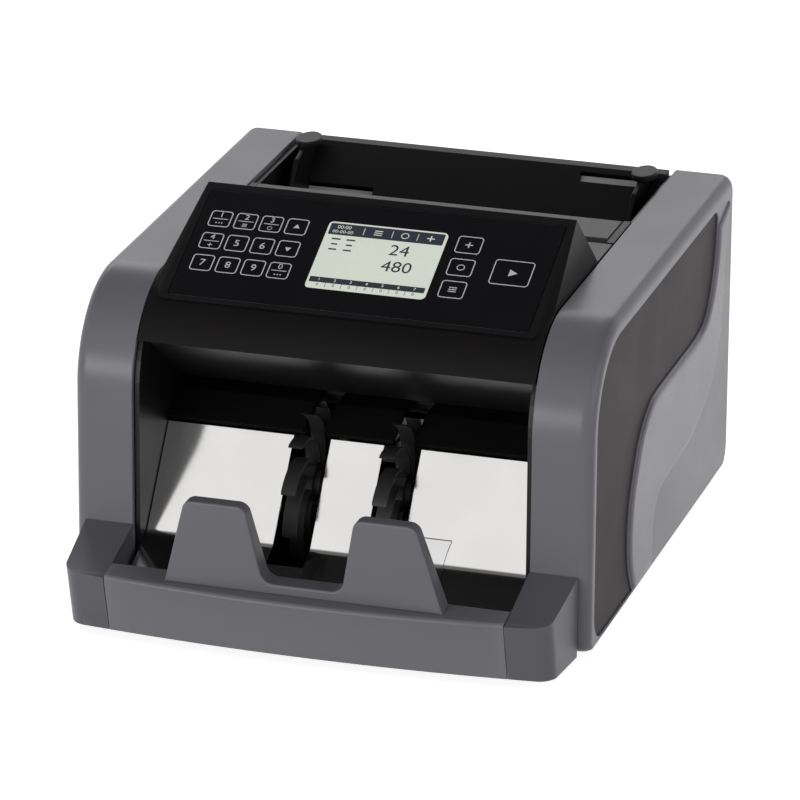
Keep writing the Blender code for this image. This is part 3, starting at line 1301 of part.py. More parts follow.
def retard_bracket(surface, machine):
    """The forked bracket over the throat that carries the retard rollers, hung on the adjusting screw."""
    low = (-BRIDGE_HALF_WIDTH, BRIDGE_FRONT_Y, BRIDGE_HEIGHT)
    high = (BRIDGE_HALF_WIDTH, CHEEK_FRONT_Y + CHEEK_THICKNESS, BRIDGE_HEIGHT + BRIDGE_THICKNESS)
    bracket = box("retard_bracket", low, high)
    axle_y, axle_z = retard_axis()
    for side in SIDES:
        centre = side * FEED_ROLLER_X
        reach = RETARD_WIDTH / 2 + CHEEK_CLEARANCE
        for hand in SIDES:
            faces = sorted((centre + hand * reach, centre + hand * (reach + CHEEK_THICKNESS)))
            cheek_low = (faces[0], CHEEK_FRONT_Y, CHEEK_FOOT)
            cheek_high = (faces[1], CHEEK_REAR_Y, BRIDGE_HEIGHT + BRIDGE_THICKNESS)
            join(bracket, box("cheek", cheek_low, cheek_high))
        span = reach + CHEEK_THICKNESS / 2
        stations = [(centre - span, RETARD_AXLE_RADIUS), (centre + span, RETARD_AXLE_RADIUS)]
        join(bracket, spindle("axle", "x", stations, 12, (axle_y, axle_z)))
    radius = SCREW_RADIUS + SEAM
    stations = [(BRIDGE_HEIGHT - OVERRUN, radius), (BRIDGE_HEIGHT + BRIDGE_THICKNESS + OVERRUN, radius)]
    cut(bracket, spindle("hole", "z", stations, 12, (0.0, KNOB_Y)))
    return finish(bracket, surface, machine)


def roller_profile(width, radius, bore):
    """The profile of a rubber tyre on a dished hub."""
    half = width / 2
    hub = bore + ROLLER_DISH
    shoulder = radius - ROLLER_RIM
    dish = half - ROLLER_DISH
    if shoulder <= hub:
        return [(-half, bore), (-half, radius), (half, radius), (half, bore)]
    return [(-half, bore), (-half, hub), (-dish, hub), (-dish, shoulder), (-half, shoulder), (-half, radius),
            (half, radius), (half, shoulder), (dish, shoulder), (dish, hub), (half, hub), (half, bore)]


def roller(name, side, across, place, width, radius, bore, surface, machine):
    """A roller on a shaft, with its origin on the shaft's axis."""
    profile = roller_profile(width, radius, bore + SEAM)
    tyre = turned_ring(name + "_" + SIDES[side], profile, ROLLER_SIDES)
    return finish(tyre, surface, machine, (side * across, *place))


def belt_plane(index):
    """How far a belt's middle lies from the centre of the machine, counted outwards from the plate."""
    return BAY_HALF + BELT_PLANE_PITCH * (index + 1 / 2)


def groove_stations(plane, radius):
    """The stations of a grooved pulley round one belt plane, from outside inwards."""
    half = GROOVE_WIDTH / 2
    outer = radius + FLANGE_HEIGHT
    return [(-plane - half - FLANGE_WIDTH, outer), (-plane - half, outer), (-plane - half, radius),
            (-plane + half, radius), (-plane + half, outer), (-plane + half + FLANGE_WIDTH, outer)]


def pulley(name, planes, radius, bore, place, surface, machine):
    """A pulley with one groove for each belt plane."""
    stations = []
    for plane in sorted(planes, reverse=True):
        stations += groove_stations(plane, radius)
    low = stations[0][0]
    high = stations[-1][0]
    profile = [(low, bore + SEAM)] + stations + [(high, bore + SEAM)]
    wheel = turned_ring(name, profile, 20)
    return finish(wheel, surface, machine, (0.0, *place))


def pulleyed_shaft(name, plane_index, radius, place, surface, machine):
    """A shaft with its pulley turned in one piece at the left end."""
    stations = groove_stations(belt_plane(plane_index), radius)
    stations += [(stations[-1][0], SHAFT_RADIUS), (shaft_end(), SHAFT_RADIUS)]
    return finish(spindle(name, "x", stations, SHAFT_SIDES), surface, machine, (0.0, *place))


def shaft_end():
    """Where the shafts end, just inside the outer face of the right frame plate."""
    return BAY_HALF - 2 * SEAM


def plain_shaft(name, left_end, place, surface, machine):
    """A round steel shaft through both frame plates."""
    chamfer = SHAFT_RADIUS / 6
    right_end = shaft_end()
    stations = [(left_end, SHAFT_RADIUS - chamfer), (left_end + chamfer, SHAFT_RADIUS),
                (right_end - chamfer, SHAFT_RADIUS), (right_end, SHAFT_RADIUS - chamfer)]
    return finish(spindle(name, "x", stations, SHAFT_SIDES), surface, machine, (0.0, *place))


def rollered_shaft(name, radius, width, place, surface, machine):
    """A shaft with two tyres moulded onto it."""
    end = shaft_end()
    half = width / 2
    stations = [(-end, SHAFT_RADIUS)]
    for middle in (-TRANSPORT_ROLLER_X, TRANSPORT_ROLLER_X):
        stations += [(middle - half, SHAFT_RADIUS), (middle - half, radius), (middle + half, radius),
                     (middle + half, SHAFT_RADIUS)]
    stations.append((end, SHAFT_RADIUS))
    return finish(spindle(name, "x", stations, ROLLER_SIDES), surface, machine, (0.0, *place))


def blade_edge(start_turn, offset):
    """One edge of a curved blade, from the hub out to the tip."""
    edge = []
    for i in range(BLADE_STEPS + 1):
        share = i / BLADE_STEPS
        radius = WHEEL_HUB_RADIUS + (WHEEL_RADIUS - WHEEL_HUB_RADIUS) * share
        turn = start_turn + math.radians(BLADE_SWEEP) * share ** 1.3 + offset / radius
        edge.append((radius * math.cos(turn), radius * math.sin(turn)))
    return edge


def stacker_wheel(side, surface, machine):
    """A flexible wheel whose swept blades catch each note and lay it on the plate."""
    outline = []
    for blade in range(WHEEL_BLADES):
        start = 2 * math.pi * blade / WHEEL_BLADES
        outline += blade_edge(start, -BLADE_THICKNESS / 2)
        outline += reversed(blade_edge(start, BLADE_THICKNESS / 2))
    half = WHEEL_WIDTH / 2
    wheel = prism("stacker_wheel_" + SIDES[side], "x", outline, -half, half)
    bore = SHAFT_RADIUS + SEAM
    stations = [(-half - OVERRUN, bore), (half + OVERRUN, bore)]
    cut(wheel, spindle("bore", "x", stations, SHAFT_SIDES))
    return finish(wheel, surface, machine, (side * WHEEL_X, *STACKER_AXIS))


def main_motor(surface, machine):
    """The motor on the left frame plate, with its front boss in the plate's hole."""
    flange = -(BAY_HALF - PLATE_THICKNESS - 2 * SEAM)
    chamfer = MOTOR_CAP_LENGTH / 3
    end = flange + MOTOR_LENGTH
    stations = [(-BAY_HALF + SEAM, MOTOR_BOSS_RADIUS), (flange, MOTOR_BOSS_RADIUS), (flange, MOTOR_RADIUS),
                (end - chamfer, MOTOR_RADIUS), (end, MOTOR_RADIUS - chamfer), (end, MOTOR_BOSS_RADIUS),
                (end + MOTOR_CAP_LENGTH, MOTOR_BOSS_RADIUS)]
    return finish(spindle("main_motor", "x", stations, 28), surface, machine, (0.0, *MOTOR_AXIS))


def motor_pulley(surface, machine):
    """The motor's pulley with the end of the motor shaft."""
    stations = groove_stations(belt_plane(0), MOTOR_GROOVE_RADIUS)
    stations += [(stations[-1][0], MOTOR_SHAFT_RADIUS), (-BAY_HALF, MOTOR_SHAFT_RADIUS)]
    wheel = spindle("motor_pulley", "x", stations, 20)
    return finish(wheel, surface, machine, (0.0, *MOTOR_AXIS))


def belt_loop(first, first_radius, second, second_radius):
    """The outline of a belt round two pulleys."""
    run = Vector(second) - Vector(first)
    heading = math.degrees(math.atan2(run.y, run.x))
    lean = math.degrees(math.acos((first_radius - second_radius) / run.length))
    start = heading + lean
    loop = arc(first, (first_radius, first_radius), start, start + 360 - 2 * lean, BELT_STEPS)
    loop += arc(second, (second_radius, second_radius), heading - lean, heading + lean, BELT_STEPS)
    return loop


def belt(name, plane_index, first, first_radius, second, second_radius, surface, machine):
    """A flat belt round two pulleys."""
    middle = -belt_plane(plane_index)
    ends = (middle - BELT_WIDTH / 2, middle + BELT_WIDTH / 2)
    reach = SEAM + BELT_THICKNESS
    outer = belt_loop(first, first_radius + reach, second, second_radius + reach)
    inner = belt_loop(first, first_radius + SEAM, second, second_radius + SEAM)
    count = len(outer)
    points = []
    for end in ends:
        points += ring("x", end, outer) + ring("x", end, inner)
    faces = []
    for i in range(count):
        j = (i + 1) % count
        faces.append((i, j, count + j, count + i))
        faces.append((2 * count + i, 2 * count + j, 3 * count + j, 3 * count + i))
        faces.append((i, j, 2 * count + j, 2 * count + i))
        faces.append((count + i, count + j, 3 * count + j, 3 * count + i))
    return finish(solid(name, points, faces), surface, machine)


def circuit(name, span, parts, surface, machine):
    """A board on the pan's bosses, with its tallest parts as blocks and cans."""
    centre = (span[0] + span[1]) / 2
    half = (span[1] - span[0]) / 2
    low = (span[0], BOARD_FRONT_Y, BOARD_HEIGHT)
    board = box(name, low, (span[1], BOARD_REAR_Y, BOARD_HEIGHT + BOARD_THICKNESS))
    base = BOARD_HEIGHT + BOARD_THICKNESS / 2
    depth = BOARD_REAR_Y - BOARD_FRONT_Y
    for across_share, along_share, size_share, height_share in parts:
        x = centre + half * across_share
        y = BOARD_FRONT_Y + depth * along_share
        size = depth * size_share
        part_low = (x - size / 2, y - size / 2, base)
        join(board, box("part", part_low, (x + size / 2, y + size / 2, base + PART_HEIGHT * height_share)))
    return finish(board, surface, machine, smooth=False)


MAIN_BOARD_PART_SHARES = ((-0.70, 0.30, 0.25, 0.3), (-0.20, 0.60, 0.40, 0.2), (0.45, 0.30, 0.20, 0.8),
                          (0.75, 0.75, 0.22, 1.0))
SUPPLY_PART_SHARES = ((-0.40, 0.35, 0.45, 1.9), (0.45, 0.70, 0.30, 1.5), (0.50, 0.25, 0.22, 1.2))


def rear_panel(surface, machine):
    """The fixed lower part of the back, with places for the inlet and the switch, and vents."""
    inner_face = REAR_FACE_Y - REAR_THICKNESS
    panel = box("rear_panel", (-inner_half(), inner_face, 0.0), (inner_half(), REAR_FACE_Y, PANEL_TOP))
    reach = (inner_face - OVERRUN, REAR_FACE_Y + OVERRUN)
    inlet_size = (INLET_WIDTH + 2 * SEAM, INLET_HEIGHT + 2 * SEAM)
    cut(panel, prism("inlet", "y", rounded_box_outline(*inlet_size, SEAM, (INLET_X, INLET_Z), 1), *reach))
    switch_size = (SWITCH_WIDTH + 2 * SEAM, SWITCH_HEIGHT + 2 * SEAM)
    cut(panel, prism("switch", "y", rounded_box_outline(*switch_size, SEAM, (SWITCH_X, INLET_Z), 1), *reach))
    for i in range(VENT_COUNT):
        x = VENT_X + (i - (VENT_COUNT - 1) / 2) * VENT_PITCH
        low = (x - VENT_WIDTH / 2, reach[0], VENT_Z - VENT_HEIGHT / 2)
        cut(panel, box("vent", low, (x + VENT_WIDTH / 2, reach[1], VENT_Z + VENT_HEIGHT / 2)))
    return finish(panel, surface, machine)


def rear_door(surface, machine):
    """The door in the back, which swings down on two pins so that the note path can be cleaned."""
    axis_y, axis_z = door_axis()
    half = inner_half() - DOOR_GAP + SEAM
    barrel = arc((0.0, 0.0), (DOOR_BARREL_RADIUS, DOOR_BARREL_RADIUS), 150, 390, 10)
    outer = REAR_THICKNESS / 2
    height = DOOR_TOP - axis_z
    outline = barrel + [(outer, outer), (outer, height), (-outer, height), (-outer, outer)]
    door = prism("rear_door", "x", outline, -half, half)
    grip_low = (-DOOR_GRIP_WIDTH / 2, -outer - OVERRUN, height - DOOR_GRIP_DEPTH)
    cut(door, box("grip", grip_low, (DOOR_GRIP_WIDTH / 2, outer + OVERRUN, height + OVERRUN)))
    for side in SIDES:
        ends = sorted((side * (half - OVERRUN), side * (half + DOOR_PIN_LENGTH)))
        stations = [(ends[0], DOOR_PIN_RADIUS), (ends[1], DOOR_PIN_RADIUS)]
        join(door, spindle("pin", "x", stations, 12))
    for i in range(DOOR_RIB_COUNT):
        x = (i - (DOOR_RIB_COUNT - 1) / 2) * DOOR_RIB_PITCH
        low = (x - DOOR_RIB_WIDTH / 2, -outer - DOOR_RIB_WIDTH, 2 * DOOR_BARREL_RADIUS)
        high = (x + DOOR_RIB_WIDTH / 2, 0.0, height - 2 * DOOR_GRIP_DEPTH)
        join(door, box("rib", low, high))
    return finish(door, surface, machine, (0.0, axis_y, axis_z))


def power_inlet(surface, machine):
    """The three-pin mains inlet in the rear panel."""
    face = REAR_FACE_Y + SEAM
    proud = face + INLET_FLANGE_THICKNESS
    flange_size = (INLET_WIDTH + 2 * INLET_FLANGE, INLET_HEIGHT + 2 * INLET_FLANGE)
    centre = (INLET_X, INLET_Z)
    inlet = prism("power_inlet", "y", rounded_box_outline(*flange_size, INLET_FLANGE, centre, 2), face, proud)
    body = rounded_box_outline(INLET_WIDTH, INLET_HEIGHT, SEAM, centre, 1)
    join(inlet, prism("body", "y", body, face - INLET_DEPTH, face + INLET_FLANGE_THICKNESS / 2))
    half_width = INLET_SOCKET_WIDTH / 2
    half_height = INLET_SOCKET_HEIGHT / 2
    corner = INLET_CHAMFER
    socket = [(half_width, -half_height), (half_width, half_height - corner), (half_width - corner, half_height),
              (corner - half_width, half_height), (-half_width, half_height - corner), (-half_width, -half_height)]
    placed = [(INLET_X + across, INLET_Z + up) for across, up in socket]
    floor = proud - INLET_SOCKET_DEPTH
    cut(inlet, prism("socket", "y", placed, floor, proud + OVERRUN))
    for step, up in ((-1, -INLET_PIN_DROP), (0, INLET_PIN_DROP), (1, -INLET_PIN_DROP)):
        x = INLET_X + step * INLET_PIN_PITCH
        z = INLET_Z + up
        low = (x - INLET_PIN_WIDTH / 2, floor - INLET_PIN_WIDTH / 2, z - INLET_PIN_HEIGHT / 2)
        high = (x + INLET_PIN_WIDTH / 2, floor + INLET_PIN_LENGTH, z + INLET_PIN_HEIGHT / 2)
        join(inlet, box("pin", low, high))
    return finish(inlet, surface, machine, smooth=False)


def power_switch(surface, machine):
    """The switch's body, open at the back for its rocker."""
    face = REAR_FACE_Y + SEAM
    proud = face + INLET_FLANGE_THICKNESS
    centre = (SWITCH_X, INLET_Z)
    flange_size = (SWITCH_WIDTH + 2 * INLET_FLANGE, SWITCH_HEIGHT + 2 * INLET_FLANGE)
    body = prism("power_switch", "y", rounded_box_outline(*flange_size, INLET_FLANGE / 2, centre, 2), face, proud)
    can = rounded_box_outline(SWITCH_WIDTH, SWITCH_HEIGHT, SEAM, centre, 1)
    join(body, prism("can", "y", can, face - SWITCH_DEPTH, face + INLET_FLANGE_THICKNESS / 2))
    well_size = (SWITCH_WIDTH - 2 * SWITCH_WALL, SWITCH_HEIGHT - 2 * SWITCH_WALL)
    well = rounded_box_outline(*well_size, SEAM, centre, 1)
    cut(body, prism("well", "y", well, face - SWITCH_DEPTH + SWITCH_WALL, proud + OVERRUN))
    return finish(body, surface, machine, smooth=False)


def rocker_axis():
    """The place of the rocker's pivot."""
    return (REAR_FACE_Y + SEAM - ROCKER_DEPTH / 2, INLET_Z)


def switch_rocker(surface, machine):
    """The rocker, resting with its upper half pressed in."""
    half_width = SWITCH_WIDTH / 2 - SWITCH_WALL - SEAM
    half_height = SWITCH_HEIGHT / 2 - SWITCH_WALL - ROCKER_SWING_CLEARANCE
    front = ROCKER_DEPTH / 2 + INLET_FLANGE_THICKNESS
    dip = math.tan(math.radians(ROCKER_TILT)) * half_height
    outline = [(front, 0.0), (front + dip, half_height), (-ROCKER_DEPTH / 4, half_height * 2 / 3),
               (-ROCKER_DEPTH / 2, 0.0), (-ROCKER_DEPTH / 4, -half_height * 2 / 3), (front + dip, -half_height)]
    rocker = prism("switch_rocker", "x", outline, -half_width, half_width)
    rocker.data.transform(Matrix.Rotation(math.radians(ROCKER_TILT), 4, "X"))
    return finish(rocker, surface, machine, (SWITCH_X, *rocker_axis()), smooth=False)


def gap_knob(surface, machine):
    """The fluted knob on the deck and the screw under it that sets the gap of the retard rollers."""
    outline = []
    points = 2 * KNOB_FLUTES
    for i in range(points):
        turn = 2 * math.pi * i / points
        radius = KNOB_RADIUS - KNOB_FLUTE_DEPTH * (i % 2)
        outline.append((radius * math.cos(turn), radius * math.sin(turn)))
    base = HOUSING_HEIGHT + SEAM
    edge = KNOB_HEIGHT / 10
    top = base + KNOB_HEIGHT
    rings = [ring("z", base, outline), ring("z", top - edge, outline), ring("z", top, shrink(outline, edge))]
    knob = loft("gap_knob", rings)
    stations = [(SCREW_FOOT, SCREW_RADIUS), (base + edge, SCREW_RADIUS)]
    join(knob, spindle("screw", "z", stations, 12))
    return finish(knob, surface, machine, (0.0, KNOB_Y, 0.0))


def build_casing(look, machine):
    """The outer shells, the front tray, the base and the feet."""
    base_pan(look["matt_black"], machine)
    front_tray(look["housing_grey"], machine)
    top_deck(look["housing_grey"], machine)
    hopper_lip(look["housing_grey"], machine)
    for side in SIDES:
        side_housing(side, look["housing_grey"], machine)
        side_insert(side, look["insert_grey"], machine)
        end_cap(side, look["cap_grey"], machine)
        frame_plate(side, look["matt_black"], machine)
        foot(side, "front", FOOT_FRONT_Y, look["rubber"], machine)
        foot(side, "rear", FOOT_REAR_Y, look["rubber"], machine)


def build_console(look, machine):
    """The visor and what sits in its wedge."""
    front_visor(look["satin_black"], machine)
    slope = guide_frame("console_slope", machine, (0.0, CONSOLE_TOP_Y, CONSOLE_TOP_HEIGHT), CONSOLE_SLOPE)
    console_panel(look["gloss_black"], slope)
    display_window(look["display_glass"], slope)
    lcd_module(look["plain_steel"], slope)
    console_board(look["board_green"], slope)


def build_hopper(look, machine):
    """The hopper's back, its guides and the mechanism behind it."""
    hopper_backrest(look["matt_black"], machine)
    feed_plane = guide_frame("feed_plane", machine, feed_plane_origin(), FEED_PLANE_TILT)
    for side in SIDES:
        hopper_guide(side, look["satin_black"], machine)
        guide_rack(side, look["gear_white"], feed_plane)
    guide_pinion(look["gear_white"], feed_plane)


def build_note_path(look, machine):
    """The guides, shafts, rollers and wheels that the notes pass."""
    lower_guide(look["matt_black"], machine)
    upper_guide(look["matt_black"], machine)
    stacker_plate(look["polished_steel"], machine)
    retard_bracket(look["matt_black"], machine)
    gap_knob(look["satin_black"], machine)
    feed_end = -belt_plane(2) - GROOVE_WIDTH
    plain_shaft("feed_shaft", feed_end, FEED_AXIS, look["plain_steel"], machine)
    pulleyed_shaft("stacker_shaft", 1, STACKER_GROOVE_RADIUS, STACKER_AXIS, look["plain_steel"], machine)
    pulleyed_shaft("pickup_shaft", 2, PICKUP_GROOVE_RADIUS, pickup_axis(), look["plain_steel"], machine)
    rubber = look["feed_rubber"]
    rollered_shaft("transport_shaft", TRANSPORT_RADIUS, TRANSPORT_ROLLER_WIDTH, TRANSPORT_AXIS, rubber, machine)
    rollered_shaft("pinch_shaft", PINCH_RADIUS, PINCH_ROLLER_WIDTH, pinch_axis(), look["plain_steel"], machine)
    for side in SIDES:
        roller("feed_roller", side, FEED_ROLLER_X, FEED_AXIS, FEED_ROLLER_WIDTH, FEED_RADIUS, SHAFT_RADIUS,
               rubber, machine)
        roller("pickup_roller", side, PICKUP_ROLLER_X, pickup_axis(), PICKUP_ROLLER_WIDTH, PICKUP_RADIUS,
               SHAFT_RADIUS, rubber, machine)
        roller("retard_roller", side, FEED_ROLLER_X, retard_axis(), RETARD_WIDTH, RETARD_RADIUS,
               RETARD_AXLE_RADIUS, rubber, machine)
        stacker_wheel(side, look["rubber"], machine)
        note_stop(side, look["clear_plastic"], machine)


def build_drive(look, machine):
    """The motor, pulleys, belts and electronics."""
    main_motor(look["plain_steel"], machine)
    motor_pulley(look["gear_white"], machine)
    planes = [belt_plane(i) for i in range(BELT_PLANE_COUNT)]
    pulley("feed_pulley", planes, FEED_GROOVE_RADIUS, SHAFT_RADIUS, FEED_AXIS, look["gear_white"], machine)
    rubber = look["rubber"]
    belt("drive_belt", 0, MOTOR_AXIS, MOTOR_GROOVE_RADIUS, FEED_AXIS, FEED_GROOVE_RADIUS, rubber, machine)
    belt("stacker_belt", 1, STACKER_AXIS, STACKER_GROOVE_RADIUS, FEED_AXIS, FEED_GROOVE_RADIUS, rubber, machine)
    belt("pickup_belt", 2, FEED_AXIS, FEED_GROOVE_RADIUS, pickup_axis(), PICKUP_GROOVE_RADIUS, rubber, machine)
    main_span, supply_span = board_spans()
    circuit("main_board", main_span, MAIN_BOARD_PART_SHARES, look["board_green"], machine)
    circuit("power_supply", supply_span, SUPPLY_PART_SHARES, look["board_green"], machine)


def build_rear(look, machine):
    """The door and the panel in the back with the inlet and the switch."""
    rear_panel(look["matt_black"], machine)
    rear_door(look["matt_black"], machine)
    power_inlet(look["satin_black"], machine)
    power_switch(look["satin_black"], machine)
    switch_rocker(look["gloss_black"], machine)


def main():
    """Clears the scene and builds the machine."""
    for piece in list(bpy.data.objects):
        bpy.data.objects.remove(piece)
    look = finishes()
    middle = (HOUSING_DEPTH - TRAY_REACH) / 2
    machine = guide_frame("machine", None, (0.0, -middle, FOOT_HEIGHT), 0.0)
    build_casing(look, machine)
    build_console(look, machine)
    build_hopper(look, machine)
    build_note_path(look, machine)
    build_drive(look, machine)
    build_rear(look, machine)


main()
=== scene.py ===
"""The looks of a banknote counter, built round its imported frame.

The frame gives the machine's pieces with their places. This file replaces the shells that need finer form,
draws the keys and the display, gives every piece its finish and sets up the floor, the lamps and the camera.
Pieces are drawn in the machine's own frame: X across, Y to the back from the flat fronts of the side housings,
Z up from the underside of the casing. Sizes are in metres and angles in degrees.
"""

import json
import math

import bmesh
import bpy
from bpy.props import FloatProperty, FloatVectorProperty, IntProperty, PointerProperty
from mathutils import Matrix, Vector


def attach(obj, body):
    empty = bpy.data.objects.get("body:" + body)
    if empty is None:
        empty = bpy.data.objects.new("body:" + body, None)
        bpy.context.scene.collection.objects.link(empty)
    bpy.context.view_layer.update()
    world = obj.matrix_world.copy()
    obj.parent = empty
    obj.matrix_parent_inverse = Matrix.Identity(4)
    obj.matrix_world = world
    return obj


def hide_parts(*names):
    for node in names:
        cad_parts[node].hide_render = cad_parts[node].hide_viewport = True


bl_info = {
    "name": "Banknote counter looks",
    "version": (1, 0, 0),
    "blender": (4, 5, 0),
    "location": "3D View > Sidebar > Counter",
    "description": "Builds the shells, print, finishes and stage of a banknote counter round its frame",
    "category": "Object",
}

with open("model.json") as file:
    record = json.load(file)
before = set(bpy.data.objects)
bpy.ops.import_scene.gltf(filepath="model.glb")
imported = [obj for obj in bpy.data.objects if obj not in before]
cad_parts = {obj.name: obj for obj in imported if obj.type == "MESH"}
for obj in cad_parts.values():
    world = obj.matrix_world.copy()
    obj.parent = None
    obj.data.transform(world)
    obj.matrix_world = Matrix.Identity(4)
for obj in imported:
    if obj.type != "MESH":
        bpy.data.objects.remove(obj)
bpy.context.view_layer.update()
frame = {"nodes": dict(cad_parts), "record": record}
FINISH_MARK = "counter_"

# Fits
SEAM = 0.0003
OVERRUN = 0.0020
THIN_EDGE = 0.0004
TOP_EDGE = 0.0009
SIDES = {-1: "left", 1: "right"}

# Casing
CASING_WIDTH = 0.2434
HOUSING_WIDTH = 0.0280
HOUSING_DEPTH = 0.2574
HOUSING_HEIGHT = 0.1480
HOUSING_WALL = 0.0025
SIDE_WALL = 0.0050
BROW_RADIUS = 0.0470
REAR_TOP_RADIUS = 0.0090
REAR_FOOT_RADIUS = 0.0120
FRONT_FOOT_RADIUS = 0.0080
LOW_ROUND_SHARE = 0.35
FOOT_HEIGHT = 0.0050
CASING_HALF = CASING_WIDTH / 2
BAY_HALF = CASING_HALF - HOUSING_WIDTH

# Dark insert and light swell on each side
INSERT_BORDER = 0.0090
INSERT_LOW_BORDER = 0.0026
INSERT_FOOT_RADIUS = 0.0140
INSERT_CORNER_RADIUS = 0.0060
INSERT_RECESS = 0.0030
INSERT_THICKNESS = 0.0017
RECESS_RIM = 0.0006
SWELL_HEIGHT = 0.0014
SWELL_EDGE = 0.0030
SWELL_GAP = 0.0010
SWELL_END_STEP = 0.0060
SWELL_FRONT_SHARES = (
    (0.872, 0.885), (0.858, 0.770), (0.827, 0.667), (0.779, 0.605), (0.700, 0.588), (0.583, 0.588),
    (0.435, 0.586), (0.381, 0.564), (0.333, 0.511), (0.296, 0.423), (0.266, 0.318), (0.258, 0.203),
    (0.268, 0.105), (0.297, 0.018),
)
SWELL_REAR_SHARES = (
    (0.953, 0.925), (0.929, 0.811), (0.915, 0.662), (0.898, 0.514), (0.855, 0.402), (0.787, 0.326),
    (0.695, 0.276), (0.583, 0.260), (0.490, 0.250), (0.443, 0.222), (0.424, 0.165), (0.416, 0.093),
    (0.413, 0.027),
)

# Front tray, fins and end caps
TRAY_REACH = 0.0486
TRAY_LEAN = 0.0101
TRAY_BOW = 0.0067
TRAY_FOOT_BOW = 0.0046
TRAY_EDGE_DROP = 0.0028
TRAY_HEIGHT = 0.0310
TRAY_DEPTH = 0.0197
TRAY_WALL = 0.0025
SHELF_REAR_Y = -0.0020
SHELF_TOP = 0.0149
FIN_RISE = 0.0410
FIN_VALLEY_RISE = 0.0037
FIN_OUTER_FOOT_X = 0.0650
FIN_OUTER_TOP_X = 0.0537
FIN_INNER_TOP_X = 0.0256
FIN_INNER_FOOT_X = 0.0183
FIN_TOP_RADIUS = 0.0050
FIN_VALLEY_RADIUS = 0.0060
FIN_FOOT_SETBACK = 0.0079
FIN_TOP_SETBACK = 0.0024
FIN_TOP_THICKNESS = 0.0082
CAP_RISE = 0.0080
CAP_REAR_MARGIN = 0.0053
CAP_FRONT_MARGIN = 0.0075
CAP_CORNER_RADIUS = 0.0090
TRAY_INNER_Y = TRAY_DEPTH - TRAY_REACH
TRAY_FOOT_REACH = TRAY_REACH - TRAY_LEAN
TRAY_EDGE_HEIGHT = TRAY_HEIGHT - TRAY_EDGE_DROP
FIN_HEIGHT = TRAY_HEIGHT + FIN_RISE
FIN_VALLEY_HEIGHT = TRAY_HEIGHT + FIN_VALLEY_RISE
FIN_FRONT_FOOT_Y = FIN_FOOT_SETBACK - TRAY_REACH
FIN_FRONT_TOP_Y = FIN_TOP_SETBACK - TRAY_REACH
FIN_BACK_TOP_Y = FIN_FRONT_TOP_Y + FIN_TOP_THICKNESS
CAP_REAR_X = CASING_HALF - CAP_REAR_MARGIN
CAP_FRONT_X = CASING_HALF - CAP_FRONT_MARGIN

# Visor and console
VISOR_DROP = 0.0230
VISOR_RETURN = 0.0060
CONSOLE_TOP_SHARE = 0.3582
CONSOLE_RISE = 0.0261
CONSOLE_SLOPE = 24.7
CONSOLE_LENGTH = 0.0789
CONSOLE_SIDE_MARGIN = 0.0057
CONSOLE_BACK_DEPTH = 0.0207
CONSOLE_WALL = 0.0036
PANEL_TOP_MARGIN = 0.0053
PANEL_SIDE_MARGIN = 0.0033
PANEL_LENGTH = 0.0700
PANEL_THICKNESS = 0.0010
PANEL_CORNER = 0.0020
DISPLAY_WIDTH = 0.0565
DISPLAY_HEIGHT = 0.0437
DISPLAY_X = 0.0043
DISPLAY_DOWN = 0.0396
DISPLAY_CORNER = 0.0022
DISPLAY_LEDGE = 0.0026
PLATE_THICKNESS = 0.0022
VISOR_LIP_HEIGHT = HOUSING_HEIGHT - VISOR_DROP
CONSOLE_TOP_Y = HOUSING_DEPTH * CONSOLE_TOP_SHARE
CONSOLE_TOP_HEIGHT = HOUSING_HEIGHT + CONSOLE_RISE
CONSOLE_BACK_Y = CONSOLE_TOP_Y + CONSOLE_BACK_DEPTH
CONSOLE_HALF_WIDTH = BAY_HALF - CONSOLE_SIDE_MARGIN
PANEL_HALF_WIDTH = CONSOLE_HALF_WIDTH - PANEL_SIDE_MARGIN
INNER_HALF = BAY_HALF - PLATE_THICKNESS - 2 * SEAM

# Top deck and hopper lip
DECK_GAP = 0.0023
DECK_SKIRT = 0.0100
LIP_FRONT_SHARE = 0.5478
LIP_OVERHANG = 0.0051
LIP_REAR_SHARE = 0.6468
LIP_SIDE_MARGIN = 0.0047
LIP_SKIRT = 0.0060
LIP_EDGE_RADIUS = 0.0032
LIP_FRONT_Y = HOUSING_DEPTH * LIP_FRONT_SHARE
LIP_REAR_Y = HOUSING_DEPTH * LIP_REAR_SHARE + LIP_OVERHANG
LIP_HALF_WIDTH = BAY_HALF - LIP_SIDE_MARGIN
DECK_REAR_Y = LIP_FRONT_Y - DECK_GAP

# Path through the machine
PATH_LEVEL = 0.0840
STACKER_AXIS = (HOUSING_DEPTH * 0.1554, PATH_LEVEL - 0.0320)
SHAFT_RADIUS = 0.0030
WHEEL_RADIUS = 0.0360
WHEEL_HUB_RADIUS = 0.0100
HUB_RADIUS = 0.0070
HUB_PROUD = 0.0025
WHEEL_X = 0.0215
WHEEL_WIDTH = 0.0070
WHEEL_BLADES = 10
BLADE_THICKNESS = 0.0017
BLADE_SWEEP = 62.0
STACK_TOP = (HOUSING_DEPTH * 0.1639, PATH_LEVEL - 0.0101)
STACK_BEND = (HOUSING_DEPTH * 0.0389, SHELF_TOP + 0.0161)
STACK_FRONT = (TRAY_INNER_Y + 0.0039, SHELF_TOP + 0.0016)
STACK_THICKNESS = 0.0012
STACK_BEND_RADIUS = 0.0080
STACK_SLOT_WIDTH = 0.0176
STOP_INNER_X = 0.0370
STOP_OUTER_X = 0.0610
STOP_THICKNESS = 0.0010
STOP_REACHES = (-0.0002, -0.0009, 0.0019, 0.0084, 0.0169)
STOP_RISES = (0.0025, 0.0090, 0.0150, 0.0200, 0.0230)

